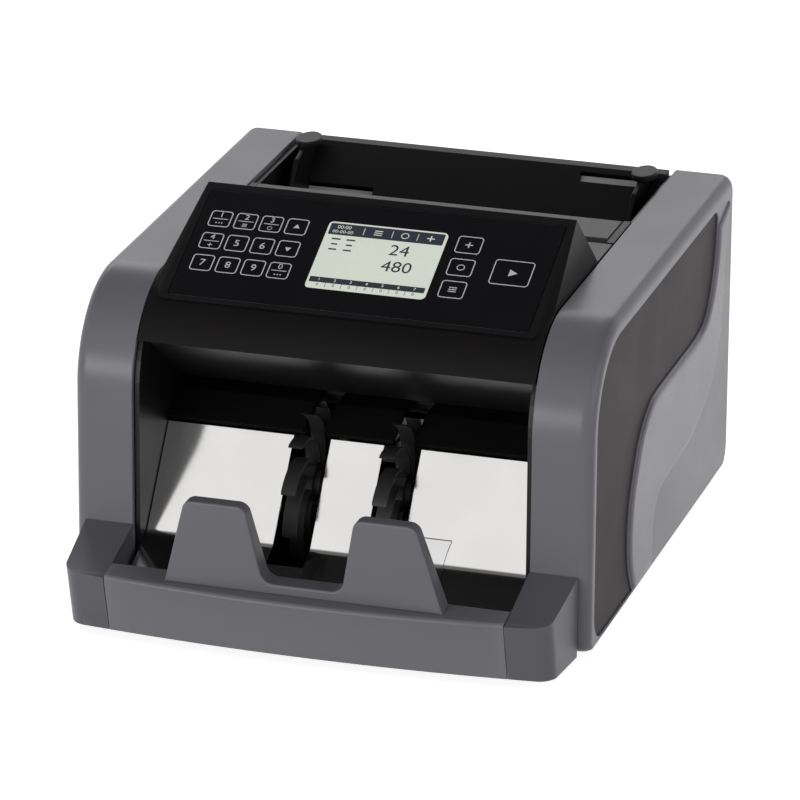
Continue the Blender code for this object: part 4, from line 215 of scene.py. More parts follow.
# Hopper
FEED_PLANE_FOOT = (HOUSING_DEPTH * 0.7622, PATH_LEVEL + 0.0122)
FEED_PLANE_HEAD = (HOUSING_DEPTH - 0.0173, HOUSING_HEIGHT - 0.0018)
FEED_PLANE_RUN = FEED_PLANE_HEAD[0] - FEED_PLANE_FOOT[0]
FEED_PLANE_RISE = FEED_PLANE_HEAD[1] - FEED_PLANE_FOOT[1]
GUIDE_X = BAY_HALF - 0.0112
GUIDE_THICKNESS = 0.0022
GUIDE_TOP_SHARES = ((0.611, 1.076), (0.315, 1.016), (0.110, 0.796), (0.030, 0.396))
PAD_LENGTH = 0.0190
PAD_WIDTH = 0.0120
PAD_THICKNESS = 0.0030
PAD_Y = FEED_PLANE_FOOT[0] + FEED_PLANE_RUN * 0.793
PAD_BASE = HOUSING_HEIGHT + 0.0014
KNOB_Y = HOUSING_DEPTH * 0.4934
KNOB_RADIUS = 0.0090
KNOB_HEIGHT = 0.0085
KNOB_FLUTES = 20
KNOB_FLUTE_DEPTH = 0.0005
KNOB_FOOT_EDGE = 0.0003
KNOB_RIM = 0.0022
KNOB_DISH = 0.0005
KNOB_DISH_RIM = 0.0028
KNOB_SCREW_FOOT = 0.0200
KNOB_MARK_Y = 0.0036
KNOB_MARK_SIZE = (0.0007, 0.0050)
KNOB_MARK_LEVELS = (0.0006, 0.0003)
PAD_FOOT_EDGE = 0.0004
SCREW_RADIUS = 0.0020

# Rear
REAR_FACE_Y = HOUSING_DEPTH - 0.0081
PANEL_TOP = 0.0469
REAR_SCREW_LEVEL = 0.0080
REAR_SCREW_DROP = 0.0070
REAR_SCREW_INSET = 0.0075
REAR_SCREW_RADIUS = 0.0028
REAR_SCREW_RISE = 0.0012
INLET_INSET = 0.0337
INLET_LEVEL = 0.0250
INLET_RIM = 0.0018
INLET_DEPTH = 0.0150
PIN_STEP = 0.0070
PIN_RISE = 0.0020
PIN_SIZE = (0.0022, 0.0042)
PIN_EDGE = 0.0005
PIN_FOOT = 0.0002
PIN_LENGTH = 0.0124
SWITCH_STEP = 0.0310
SWITCH_HEIGHT = 0.0190
SWITCH_RIM = 0.0012
ROCKER_DEPTH = 0.0075
ROCKER_PROUD = 0.0018
ROCKER_ROOM = 0.0014
ROCKER_LEAN = 10.0

MACHINE_MIDDLE = (HOUSING_DEPTH - TRAY_REACH) / 2
MACHINE_PLACE = Matrix.Translation((0.0, -MACHINE_MIDDLE, FOOT_HEIGHT))


def ring(axis, along, outline):
    """An outline laid square to an axis."""
    if axis == "x":
        return [(along, first, second) for first, second in outline]
    if axis == "y":
        return [(first, along, second) for first, second in outline]
    return [(first, second, along) for first, second in outline]


def solid(name, points, faces):
    """One closed mesh with its faces turned outwards."""
    mesh = bpy.data.meshes.new(name)
    mesh.from_pydata(points, [], faces)
    shape = bmesh.new()
    shape.from_mesh(mesh)
    bmesh.ops.recalc_face_normals(shape, faces=shape.faces)
    shape.to_mesh(mesh)
    shape.free()
    piece = bpy.data.objects.new(name, mesh)
    bpy.context.scene.collection.objects.link(piece)
    return piece


def eased(radius, steps):
    """Pairs of inset and depth along a quarter round, from the side of a piece to its end."""
    turns = [math.radians(90 * i / steps) for i in range(steps + 1)]
    return [(radius * (1 - math.cos(turn)), radius * (1 - math.sin(turn))) for turn in turns]


def loft(name, rings):
    """A solid through rings of equal point count, closed by a face at each end."""
    count = len(rings[0])
    points = [point for one_ring in rings for point in one_ring]
    faces = [list(range(count)), list(range(len(points) - count, len(points)))]
    for row in range(len(rings) - 1):
        for i in range(count):
            j = (i + 1) % count
            low = row * count
            high = low + count
            faces.append((low + i, low + j, high + j, high + i))
    return solid(name, points, faces)


def prism(name, axis, outline, low, high, edge=0.0, steps=3):
    """An outline drawn out along an axis, with its two rims rounded by an edge radius."""
    if edge == 0.0:
        return loft(name, [ring(axis, low, outline), ring(axis, high, outline)])
    sign = 1 if high > low else -1
    rings = []
    for end, way in ((low, 1), (high, -1)):
        rows = [ring(axis, end + way * sign * depth, shrink(outline, inset)) for depth, inset in eased(edge, steps)]
        rings += rows if way > 0 else list(reversed(rows))
    return loft(name, rings)


def box(name, low, high):
    """A block between two opposite corners."""
    outline = [(low[0], low[1]), (high[0], low[1]), (high[0], high[1]), (low[0], high[1])]
    return prism(name, "z", outline, low[2], high[2])


def circle(radius, sides, centre=(0.0, 0.0)):
    """Points round a circle."""
    turns = [2 * math.pi * i / sides for i in range(sides)]
    return [(centre[0] + radius * math.cos(turn), centre[1] + radius * math.sin(turn)) for turn in turns]


def spindle(name, axis, stations, sides, centre=(0.0, 0.0)):
    """A turned solid from stations of place along the axis and radius."""
    return loft(name, [ring(axis, along, circle(radius, sides, centre)) for along, radius in stations])


def arc(centre, radii, start, end, steps):
    """Points along an elliptic arc between two angles."""
    points = []
    for i in range(steps + 1):
        turn = math.radians(start + (end - start) * i / steps)
        points.append((centre[0] + radii[0] * math.cos(turn), centre[1] + radii[1] * math.sin(turn)))
    return points


def smooth_line(points, steps):
    """A smooth curve through the points, with some steps between each two."""
    line = []
    for i in range(len(points) - 1):
        before = Vector(points[max(i - 1, 0)])
        start = Vector(points[i])
        end = Vector(points[i + 1])
        after = Vector(points[min(i + 2, len(points) - 1)])
        for step in range(steps):
            t = step / steps
            point = 2 * start + (end - before) * t
            point += (2 * before - 5 * start + 4 * end - after) * t ** 2
            point += (3 * start - before - 3 * end + after) * t ** 3
            line.append((point.x / 2, point.y / 2))
    line.append(points[-1])
    return line


def beside(points, distance, closed=False):
    """A line or closed outline moved to its left by a distance, with its corners kept sharp."""
    count = len(points)
    moved = []
    for i, point in enumerate(points):
        turns = []
        for j in (i - 1, i):
            if closed or 0 <= j < count - 1:
                run = Vector(points[(j + 1) % count]) - Vector(points[j % count])
                run.normalize()
                turns.append(Vector((-run.y, run.x)))
        if len(turns) == 2:
            shift = (turns[0] + turns[1]) / (1 + turns[0].dot(turns[1]))
        else:
            shift = turns[0]
        moved.append((point[0] + shift.x * distance, point[1] + shift.y * distance))
    return moved


def shrink(outline, distance):
    """A closed outline drawn in on all sides by a distance."""
    if not distance:
        return outline
    area = 0.0
    for i, (first, second) in enumerate(outline):
        next_first, next_second = outline[(i + 1) % len(outline)]
        area += first * next_second - next_first * second
    return beside(outline, distance if area > 0 else -distance, closed=True)


def sheet(points, thickness):
    """The outline of a bent sheet that lies to the left of a line."""
    return list(points) + list(reversed(beside(points, thickness)))


def round_corners(points, radii, steps):
    """An outline whose corners are rounded, each by its own radius."""
    count = len(points)
    outline = []
    for i, radius in enumerate(radii):
        corner = Vector(points[i])
        if radius == 0:
            outline.append(tuple(corner))
            continue
        back = (Vector(points[i - 1]) - corner).normalized()
        ahead = (Vector(points[(i + 1) % count]) - corner).normalized()
        half_angle = back.angle(ahead) / 2
        centre = corner + (back + ahead).normalized() * (radius / math.sin(half_angle))
        start = corner + back * (radius / math.tan(half_angle)) - centre
        end = corner + ahead * (radius / math.tan(half_angle)) - centre
        sweep = start.angle_signed(end)
        for step in range(steps + 1):
            outline.append(tuple(centre + Matrix.Rotation(-sweep * step / steps, 2) @ start))
    return outline


def rounded_box_outline(width, height, radius, centre=(0.0, 0.0), steps=6):
    """A rectangle with rounded corners."""
    half_width = width / 2
    half_height = height / 2
    corners = [(half_width, half_height), (-half_width, half_height), (-half_width, -half_height),
               (half_width, -half_height)]
    outline = round_corners(corners, [radius] * len(corners), steps)
    return [(first + centre[0], second + centre[1]) for first, second in outline]


def settle(piece):
    """Applies the modifiers of a piece to its mesh."""
    graph = bpy.context.evaluated_depsgraph_get()
    before = piece.data
    piece.data = bpy.data.meshes.new_from_object(piece.evaluated_get(graph))
    piece.modifiers.clear()
    bpy.data.meshes.remove(before)
    return piece


def combine(body, tool, operation):
    """Cuts a tool from a body, or joins it on, and removes the tool."""
    step = body.modifiers.new(operation.lower(), "BOOLEAN")
    step.operation = operation
    step.solver = "EXACT"
    step.object = tool
    settle(body)
    bpy.data.objects.remove(tool)
    return body


def cut(body, tool):
    """Cuts a tool from a body."""
    return combine(body, tool, "DIFFERENCE")


def join(body, tool):
    """Joins a tool onto a body."""
    return combine(body, tool, "UNION")


def soften(piece, width, segments=3, angle=30.0):
    """Rounds the edges of a piece that are sharper than an angle."""
    step = piece.modifiers.new("edges", "BEVEL")
    step.width = width
    step.segments = segments
    step.limit_method = "ANGLE"
    step.angle_limit = math.radians(angle)
    return settle(piece)


def fuse(name, pieces):
    """One piece from several that stand apart or touch."""
    shape = bmesh.new()
    for piece in pieces:
        shape.from_mesh(piece.data)
        bpy.data.objects.remove(piece)
    mesh = bpy.data.meshes.new(name)
    shape.to_mesh(mesh)
    shape.free()
    whole = bpy.data.objects.new(name, mesh)
    bpy.context.scene.collection.objects.link(whole)
    return whole


def hull(name, corners):
    """The smallest convex solid round some corners."""
    mesh = bpy.data.meshes.new(name)
    shape = bmesh.new()
    for corner in corners:
        shape.verts.new(corner)
    result = bmesh.ops.convex_hull(shape, input=shape.verts)
    loose = [item for item in result["geom_interior"] if isinstance(item, bmesh.types.BMVert)]
    bmesh.ops.delete(shape, geom=loose, context="VERTS")
    bmesh.ops.dissolve_limit(shape, angle_limit=math.radians(0.1), verts=shape.verts, edges=shape.edges)
    bmesh.ops.recalc_face_normals(shape, faces=shape.faces)
    shape.to_mesh(mesh)
    shape.free()
    piece = bpy.data.objects.new(name, mesh)
    bpy.context.scene.collection.objects.link(piece)
    return piece


def place(piece, body, finish, stands_for=(), within=None, smooth=35.0):
    """Gives a piece its finish, moves it into the machine's place and sets it on its body."""
    if within is not None:
        piece.data.transform(within)
    piece.data.transform(MACHINE_PLACE)
    piece.data.name = piece.name
    piece.data.materials.clear()
    for surface in finish if isinstance(finish, (list, tuple)) else (finish,):
        piece.data.materials.append(surface)
    piece.data.shade_smooth()
    piece.data.set_sharp_from_angle(angle=math.radians(smooth))
    weigh = piece.modifiers.new("normals", "WEIGHTED_NORMAL")
    weigh.keep_sharp = True
    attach(piece, body)
    if stands_for:
        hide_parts(*stands_for)
    return piece


def console_slope():
    """The frame of the console's slope: its origin at the top edge, Y up the slope, Z out of it."""
    place_of_edge = Matrix.Translation((0.0, CONSOLE_TOP_Y, CONSOLE_TOP_HEIGHT))
    return place_of_edge @ Matrix.Rotation(math.radians(CONSOLE_SLOPE), 4, "X")


def tone(code):
    """A linear colour from a plain screen colour code."""
    parts = [int(code[i:i + 2], 16) / 255 for i in (0, 2, 4)]
    return tuple(part / 12.92 if part <= 0.04045 else ((part + 0.055) / 1.055) ** 2.4 for part in parts)


def colour_property(name, code, description):
    """A colour that a user may change."""
    return FloatVectorProperty(name=name, description=description, subtype="COLOR", size=3, min=0.0, max=1.0,
                               default=tone(code))


def length_property(name, value, description):
    """A length that a user may change."""
    return FloatProperty(name=name, description=description, default=value, min=0.0, unit="LENGTH", precision=5)


class CounterTones(bpy.types.PropertyGroup):
    """The colours of the shells, the print and the display."""

    housing: colour_property("Housing", "6E6E73", "Grey of the side housings, the tray and the deck")
    cap: colour_property("End caps", "616166", "Grey of the two blocks at the front corners")
    deck: colour_property("Deck", "4E4B4D", "Darker grey of the deck and the lip behind the console")
    swell: colour_property("Swell", "7E7B81", "Lighter grey of the swell on each side")
    insert: colour_property("Insert", "3E393B", "Dark grey of the panels set in the sides")
    visor: colour_property("Visor", "181617", "Black of the visor, the hopper guides and the knob")
    path: colour_property("Path black", "101011", "Black of the guides, the pan and the rear")
    membrane: colour_property("Membrane", "131215", "Black of the key panel")
    ink: colour_property("Key print", "DCDCDE", "Pale print of the keys")
    field: colour_property("Display field", "DEE4D7", "Lit ground of the display")
    band: colour_property("Display bands", "2A3140", "Dark bands of the display")
    steel: colour_property("Steel", "B9BABC", "Bare steel of the shafts and the motor")
    mirror: colour_property("Polished plate", "E4E3E2", "Polished steel of the landing plate")
    rubber: colour_property("Rubber", "19191B", "Rubber of the wheels, belts and feet")
    tyre: colour_property("Roller rubber", "4A4B50", "Grey rubber of the feed rollers")
    board: colour_property("Circuit board", "1F5A34", "Green of the circuit boards")
    gear: colour_property("Gears", "D6D5CF", "Pale plastic of the racks, the pinion and the pulleys")


class CounterShells(bpy.types.PropertyGroup):
    """The roundings of the shells and the size of their grain."""

    edge_round: length_property("Outer edge", 0.0060, "Radius of the long outer edges of the side housings")
    inner_edge: length_property("Inner edge", 0.0008, "Radius of the edges next to the visor and the deck")
    cap_edge: length_property("Cap edge", 0.0013, "Radius of the edges of the end caps")
    fin_edge: length_property("Fin edge", 0.0011, "Radius of the edges of the fins")
    curve_steps: IntProperty(name="Curve steps", description="Steps round the brow of a side housing", default=48,
                             min=8, max=128)
    grain: FloatProperty(name="Grain", description="How many grains of the moulded surface go to a metre",
                         default=2600.0, min=100.0)


class CounterPrint(bpy.types.PropertyGroup):
    """The keys and the display on the console."""

    key_width: length_property("Key width", 0.0103, "Width of a number key")
    key_height: length_property("Key height", 0.0104, "Height of a number key")
    key_corner: length_property("Key corner", 0.0017, "Corner radius of a key's frame")
    line: length_property("Line", 0.00046, "Width of a printed line")
    figure: length_property("Figure", 0.0040, "Height of the figures on the keys")
    lift: length_property("Lift", 0.00006, "How far the print stands on the panel")


class CounterStage(bpy.types.PropertyGroup):
    """The camera and the lamps."""

    lens: FloatProperty(name="Lens", description="Focal length of the camera in millimetres", default=272.6,
                        min=1.0)
    key: FloatProperty(name="Key lamp", description="Power of the big lamp over the machine in watts",
                       default=15.0, min=0.0)
    side: FloatProperty(name="Side lamp", description="Power of the lamp to the right in watts", default=8.5,
                        min=0.0)
    front: FloatProperty(name="Front lamp", description="Power of the lamp in front in watts", default=25.0,
                         min=0.0)
    surround: FloatProperty(name="Surround", description="Level of the light from all round", default=0.28,
                            min=0.0)


def new_group(name, inputs, outputs):
    """An empty node group with named sockets, and its two end nodes."""
    group = bpy.data.node_groups.new(name, "ShaderNodeTree")
    for label, kind, value in inputs:
        socket = group.interface.new_socket(name=label, in_out="INPUT", socket_type="NodeSocket" + kind)
        socket.default_value = value
    for label, kind in outputs:
        group.interface.new_socket(name=label, in_out="OUTPUT", socket_type="NodeSocket" + kind)
    entry = group.nodes.new("NodeGroupInput")
    leave = group.nodes.new("NodeGroupOutput")
    return group, entry, leave


def add(tree, kind, links=None, **settings):
    """A node with its settings, and links or values for its named inputs."""
    made = tree.nodes.new("ShaderNode" + kind)
    for name, value in settings.items():
        setattr(made, name, value)
    for key, value in (links or {}).items():
        if isinstance(value, bpy.types.NodeSocket):
            tree.links.new(value, made.inputs[key])
        else:
            made.inputs[key].default_value = value
    return made


def mix_colour(tree, share, first, second):
    """The mix of two colours by a share."""
    made = tree.nodes.new("ShaderNodeMix")
    made.data_type = "RGBA"
    for index, value in ((0, share), (6, first), (7, second)):
        if isinstance(value, bpy.types.NodeSocket):
            tree.links.new(value, made.inputs[index])
        else:
            made.inputs[index].default_value = value
    return made.outputs[2]


def grain_group():
    """Moulded plastic or rubber: fine grain, slow changes of tone, and edges made lighter by pointiness, partly as wear
    and partly as a painted highlight along the edges.
    """
    found = bpy.data.node_groups.get("moulded_grain")
    if found:
        return found
    inputs = (("Tone", "Color", (0.5, 0.5, 0.5, 1.0)), ("Edge Tone", "Color", (0.6, 0.6, 0.6, 1.0)),
              ("Grain", "Float", 2000.0), ("Rough Low", "Float", 0.4), ("Rough High", "Float", 0.5),
              ("Mottle", "Float", 0.08), ("Edge Wear", "Float", 0.3))
    outputs = (("Color", "Color"), ("Roughness", "Float"), ("Height", "Float"))
    group, entry, leave = new_group("moulded_grain", inputs, outputs)
    spot = add(group, "TexCoord").outputs["Object"]
    fine = add(group, "TexNoise", {"Vector": spot, "Scale": entry.outputs["Grain"], "Detail": 2.0,
                                   "Roughness": 0.6}).outputs["Fac"]
    broad = add(group, "TexNoise", {"Vector": spot, "Scale": 22.0, "Detail": 4.0,
                                    "Roughness": 0.55}).outputs["Fac"]
    # Painted highlight: sharp edges are mixed towards a lighter edge tone, partly as rubbed wear and partly in place of
    # the light the edges catch.
    edge = add(group, "NewGeometry").outputs["Pointiness"]
    worn_and_lit_edges = add(group, "MapRange", {"Value": edge, "From Min": 0.505, "From Max": 0.60}).outputs["Result"]
    wear_and_highlight = add(group, "Math", {0: worn_and_lit_edges, 1: entry.outputs["Edge Wear"]}, operation="MULTIPLY").outputs[0]
    speck = add(group, "Math", {0: fine, 1: broad}, operation="ADD").outputs[0]
    shift = add(group, "MapRange", {"Value": speck, "From Min": 0.6, "From Max": 1.4, "To Min": -1.0,
                                    "To Max": 1.0}).outputs["Result"]
    swing = add(group, "Math", {0: shift, 1: entry.outputs["Mottle"], 2: 1.0},
                operation="MULTIPLY_ADD").outputs[0]
    shaded = add(group, "VectorMath", {0: entry.outputs["Tone"]}, operation="SCALE")
    group.links.new(swing, shaded.inputs["Scale"])
    group.links.new(mix_colour(group, wear_and_highlight, shaded.outputs["Vector"], entry.outputs["Edge Tone"]),
                    leave.inputs["Color"])
    rough = add(group, "MapRange", {"Value": broad, "From Min": 0.3, "From Max": 0.7,
                                    "To Min": entry.outputs["Rough Low"], "To Max": entry.outputs["Rough High"]})
    group.links.new(rough.outputs["Result"], leave.inputs["Roughness"])
    group.links.new(fine, leave.inputs["Height"])
    return group


def brushed_group():
    """Rolled or brushed metal: long fine scratches along X, with faint stains."""
    found = bpy.data.node_groups.get("brushed_metal")
    if found:
        return found
    inputs = (("Tone", "Color", (0.6, 0.6, 0.6, 1.0)), ("Stain", "Color", (0.4, 0.4, 0.4, 1.0)),
              ("Scratch", "Float", 2400.0), ("Rough Low", "Float", 0.15), ("Rough High", "Float", 0.3))
    outputs = (("Color", "Color"), ("Roughness", "Float"), ("Height", "Float"))
    group, entry, leave = new_group("brushed_metal", inputs, outputs)
    spot = add(group, "TexCoord").outputs["Object"]
    drawn = add(group, "Mapping", {"Vector": spot, "Scale": (0.02, 1.0, 1.0)}).outputs["Vector"]
    lines = add(group, "TexNoise", {"Vector": drawn, "Scale": entry.outputs["Scratch"], "Detail": 3.0,
                                    "Roughness": 0.7}).outputs["Fac"]
    cloud = add(group, "TexNoise", {"Vector": spot, "Scale": 30.0, "Detail": 3.0}).outputs["Fac"]
    share = add(group, "MapRange", {"Value": cloud, "From Min": 0.35, "From Max": 0.75,
                                    "To Max": 0.35}).outputs["Result"]
    group.links.new(mix_colour(group, share, entry.outputs["Tone"], entry.outputs["Stain"]), leave.inputs["Color"])
    rough = add(group, "MapRange", {"Value": lines, "From Min": 0.3, "From Max": 0.7,
                                    "To Min": entry.outputs["Rough Low"], "To Max": entry.outputs["Rough High"]})
    group.links.new(rough.outputs["Result"], leave.inputs["Roughness"])
    group.links.new(lines, leave.inputs["Height"])
    return group


def new_material(name):
    """A material with its tree and shader."""
    made = bpy.data.materials.new(FINISH_MARK + name)
    made.use_nodes = True
    return made, made.node_tree, made.node_tree.nodes["Principled BSDF"]


def wire(tree, shader, effect, bump_strength, bump_distance):
    """Links an effect's colour, roughness and height to a shader."""
    tree.links.new(effect.outputs["Color"], shader.inputs["Base Color"])
    tree.links.new(effect.outputs["Roughness"], shader.inputs["Roughness"])
    bump = add(tree, "Bump", {"Height": effect.outputs["Height"], "Strength": bump_strength,
                              "Distance": bump_distance})
    tree.links.new(bump.outputs["Normal"], shader.inputs["Normal"])


def lay_effect(tree, group, values):
    """A node group placed in a material with its own values."""
    effect = tree.nodes.new("ShaderNodeGroup")
    effect.node_tree = group
    for key, value in values.items():
        effect.inputs[key].default_value = value
    return effect


def plastic(name, colour, rough, grain, bump=0.12, lighter=1.5, mottle=0.05, edge_wear_and_highlight=0.35, coat=0.0, specular=0.5):
    """A moulded plastic or rubber with its grain."""
    made, tree, shader = new_material(name)
    # The edge tone is a lighter copy of the colour: partly wear, partly a painted highlight along the edges.
    edge = tuple(min(part * lighter + 0.004, 1.0) for part in colour)
    values = {"Tone": (*colour, 1.0), "Edge Tone": (*edge, 1.0), "Grain": grain, "Rough Low": rough - 0.03,
              "Rough High": rough + 0.05, "Mottle": mottle, "Edge Wear": edge_wear_and_highlight}
    wire(tree, shader, lay_effect(tree, grain_group(), values), bump, 0.0001)
    shader.inputs["Coat Weight"].default_value = coat
    shader.inputs["Coat Roughness"].default_value = 0.12
    shader.inputs["Specular IOR Level"].default_value = specular
    made.diffuse_color = (*colour, 1.0)
    return made


def metal(name, colour, low, high, scratch=2400.0, bump=0.05):
    """A bare metal with its scratches."""
    made, tree, shader = new_material(name)
    values = {"Tone": (*colour, 1.0), "Stain": (*[part * 0.82 for part in colour], 1.0), "Scratch": scratch,
              "Rough Low": low, "Rough High": high}
    wire(tree, shader, lay_effect(tree, brushed_group(), values), bump, 0.00005)
    shader.inputs["Metallic"].default_value = 1.0
    made.diffuse_color = (*colour, 1.0)
    return made


def lit(name, colour, strength):
    """A lit part of the display, with its faint grid of dots."""
    made, tree, shader = new_material(name)
    spot = add(tree, "TexCoord").outputs["Object"]
    dots = add(tree, "TexNoise", {"Vector": spot, "Scale": 1400.0, "Detail": 1.0}).outputs["Fac"]
    glow = add(tree, "TexNoise", {"Vector": spot, "Scale": 26.0, "Detail": 1.0}).outputs["Fac"]
    both = add(tree, "Math", {0: dots, 1: glow}, operation="ADD").outputs[0]
    share = add(tree, "MapRange", {"Value": both, "From Min": 0.7, "From Max": 1.3}).outputs["Result"]
    dim = tuple(part * 0.93 for part in colour)
    tree.links.new(mix_colour(tree, share, (*dim, 1.0), (*colour, 1.0)), shader.inputs["Emission Color"])
    dark = mix_colour(tree, share, (0.02, 0.02, 0.02, 1.0), (0.03, 0.03, 0.03, 1.0))
    tree.links.new(dark, shader.inputs["Base Color"])
    shader.inputs["Emission Strength"].default_value = strength
    shader.inputs["Roughness"].default_value = 0.3
    made.diffuse_color = (*colour, 1.0)
    return made


def clear(name):
    """Clear flexible plastic, a little clouded."""
    made, tree, shader = new_material(name)
    spot = add(tree, "TexCoord").outputs["Object"]
    cloud = add(tree, "TexNoise", {"Vector": spot, "Scale": 60.0, "Detail": 3.0}).outputs["Fac"]
    rough = add(tree, "MapRange", {"Value": cloud, "To Min": 0.04, "To Max": 0.14}).outputs["Result"]
    colour = mix_colour(tree, cloud, (0.93, 0.95, 0.96, 1.0), (0.98, 0.99, 0.99, 1.0))
    tree.links.new(colour, shader.inputs["Base Color"])
    tree.links.new(rough, shader.inputs["Roughness"])
    shader.inputs["Transmission Weight"].default_value = 1.0
    shader.inputs["IOR"].default_value = 1.2
    made.diffuse_color = (0.9, 0.92, 0.93, 0.4)
    return made


def circuit_board(name, colour):
    """Green lacquer with paler tracks under it."""
    made, tree, shader = new_material(name)
    spot = add(tree, "TexCoord").outputs["Object"]
    cells = add(tree, "TexVoronoi", {"Vector": spot, "Scale": 420.0}, distance="MANHATTAN",
                feature="F1").outputs["Distance"]
    track = add(tree, "MapRange", {"Value": cells, "From Min": 0.42, "From Max": 0.5}).outputs["Result"]
    pale = tuple(part * 2.2 + 0.01 for part in colour)
    tree.links.new(mix_colour(tree, track, (*colour, 1.0), (*pale, 1.0)), shader.inputs["Base Color"])
    rough = add(tree, "MapRange", {"Value": track, "To Min": 0.3, "To Max": 0.42}).outputs["Result"]
    tree.links.new(rough, shader.inputs["Roughness"])
    bump = add(tree, "Bump", {"Height": track, "Strength": 0.3, "Distance": 0.0001})
    tree.links.new(bump.outputs["Normal"], shader.inputs["Normal"])
    made.diffuse_color = (*colour, 1.0)
    return made


def finish_of(name):
    """A surface finish by its name, made when it is first asked for."""
    found = bpy.data.materials.get(FINISH_MARK + name)
    if found:
        return found
    tones = bpy.context.scene.counter_tones
    grain = bpy.context.scene.counter_shells.grain
    # The lighter factor and the edge amount of each plastic set its edge wear together with its painted edge highlight.
    makers = {
        "housing_grey": lambda: plastic(name, tones.housing[:], 0.30, grain, 0.05, 1.5, 0.03, 0.5, specular=0.22),
        "deck_grey": lambda: plastic(name, tones.deck[:], 0.32, grain, 0.05, 1.4, 0.03, 0.3, specular=0.08),
        "cap_grey": lambda: plastic(name, tones.cap[:], 0.32, grain, 0.05, 1.5, 0.03, 0.5, specular=0.22),
        "swell_grey": lambda: plastic(name, tones.swell[:], 0.30, grain, 0.05, 1.4, 0.03, specular=0.25),
        "insert_grey": lambda: plastic(name, tones.insert[:], 0.42, grain, 0.05, 1.2, 0.03, 0.1, specular=0.03),
        "satin_black": lambda: plastic(name, tones.visor[:], 0.34, grain, 0.04, 2.2, edge_wear_and_highlight=0.12, specular=0.09),
        "matt_black": lambda: plastic(name, tones.path[:], 0.50, grain / 2, 0.1, 2.2, edge_wear_and_highlight=0.1, specular=0.16),
        "gloss_black": lambda: plastic(name, tones.membrane[:], 0.24, grain * 2, 0.01, 2.0, edge_wear_and_highlight=0.0, specular=0.10),
        "key_ink": lambda: plastic(name, tones.ink[:], 0.5, grain * 2, 0.02, 1.0),
        "screen_ink": lambda: plastic(name, tones.band[:], 0.5, grain * 2, 0.02, 1.0),
        "screen_pale": lambda: lit(name, tones.field[:], 0.8),
        "screen_field": lambda: lit(name, tones.field[:], 0.85),
        "screen_band": lambda: plastic(name, tones.band[:], 0.4, grain, 0.02, 1.0),
        "polished_steel": lambda: metal(name, tones.steel[:], 0.12, 0.20),
        "mirror_steel": lambda: metal(name, tones.mirror[:], 0.08, 0.14),
        "plain_steel": lambda: metal(name, tones.steel[:], 0.25, 0.40),
        "rubber": lambda: plastic(name, tones.rubber[:], 0.62, grain / 2, 0.3, 1.8),
        "feed_rubber": lambda: plastic(name, tones.tyre[:], 0.66, grain / 2, 0.4, 1.3),
        "clear_plastic": lambda: clear(name),
        "board_green": lambda: circuit_board(name, tones.board[:]),
        "gear_white": lambda: plastic(name, tones.gear[:], 0.45, grain, 0.1, 1.05),
        "black_steel": lambda: plastic(name, tones.path[:], 0.42, grain / 3, 0.1, 2.4, edge_wear_and_highlight=0.15, specular=0.22),
    }
    return makers[name]()


def side_outline(inset, low_inset=None):
    """The side outline of the casing drawn in by an inset, which may differ along the bottom."""
    low = inset if low_inset is None else low_inset
    steps = bpy.context.scene.counter_shells.curve_steps
    foot_centre = (FRONT_FOOT_RADIUS, FRONT_FOOT_RADIUS)
    brow_centre = (BROW_RADIUS, HOUSING_HEIGHT - BROW_RADIUS)
    top_centre = (HOUSING_DEPTH - REAR_TOP_RADIUS, HOUSING_HEIGHT - REAR_TOP_RADIUS)
    rear_centre = (HOUSING_DEPTH - REAR_FOOT_RADIUS, REAR_FOOT_RADIUS)
    outline = arc(foot_centre, (FRONT_FOOT_RADIUS - inset, FRONT_FOOT_RADIUS - low), 270, 180, steps // 5)
    outline += arc(brow_centre, (BROW_RADIUS - inset, BROW_RADIUS - inset), 180, 90, steps)
    outline += arc(top_centre, (REAR_TOP_RADIUS - inset, REAR_TOP_RADIUS - inset), 90, 0, steps // 4)
    outline += arc(rear_centre, (REAR_FOOT_RADIUS - inset, REAR_FOOT_RADIUS - low), 0, -90, steps // 4)
    return outline


def swell_line(shares):
    """A boundary of the swell, from its shares of the housing's depth and height, with long steps at its ends."""
    line = smooth_line([(HOUSING_DEPTH * along, HOUSING_HEIGHT * up) for along, up in shares], 8)
    first, last = Vector(line[0]), Vector(line[-1])
    inner = [point for point in line[1:-1]
             if min((Vector(point) - first).length, (Vector(point) - last).length) > SWELL_END_STEP]
    return [line[0]] + inner + [line[-1]]


def insert_outline():
    """The outline of the recess for the dark insert."""
    top = HOUSING_HEIGHT - INSERT_BORDER
    foot_centre = (INSERT_BORDER + INSERT_FOOT_RADIUS, INSERT_LOW_BORDER + INSERT_FOOT_RADIUS)
    brow_centre = (BROW_RADIUS, HOUSING_HEIGHT - BROW_RADIUS)
    brow = BROW_RADIUS - INSERT_BORDER
    edge = swell_line(SWELL_FRONT_SHARES)
    corner_centre = (edge[0][0] - INSERT_CORNER_RADIUS, top - INSERT_CORNER_RADIUS)
    outline = arc(foot_centre, (INSERT_FOOT_RADIUS, INSERT_FOOT_RADIUS), 270, 180, 14)
    outline += arc(brow_centre, (brow, brow), 180, 90, 36)
    outline += arc(corner_centre, (INSERT_CORNER_RADIUS, INSERT_CORNER_RADIUS), 90, 15, 8)
    return outline + edge[1:]


def swell_outline():
    """The outline of the light swell behind the insert."""
    front = beside(swell_line(SWELL_FRONT_SHARES), SWELL_GAP)
    rear = swell_line(SWELL_REAR_SHARES)
    return front + list(reversed(rear))


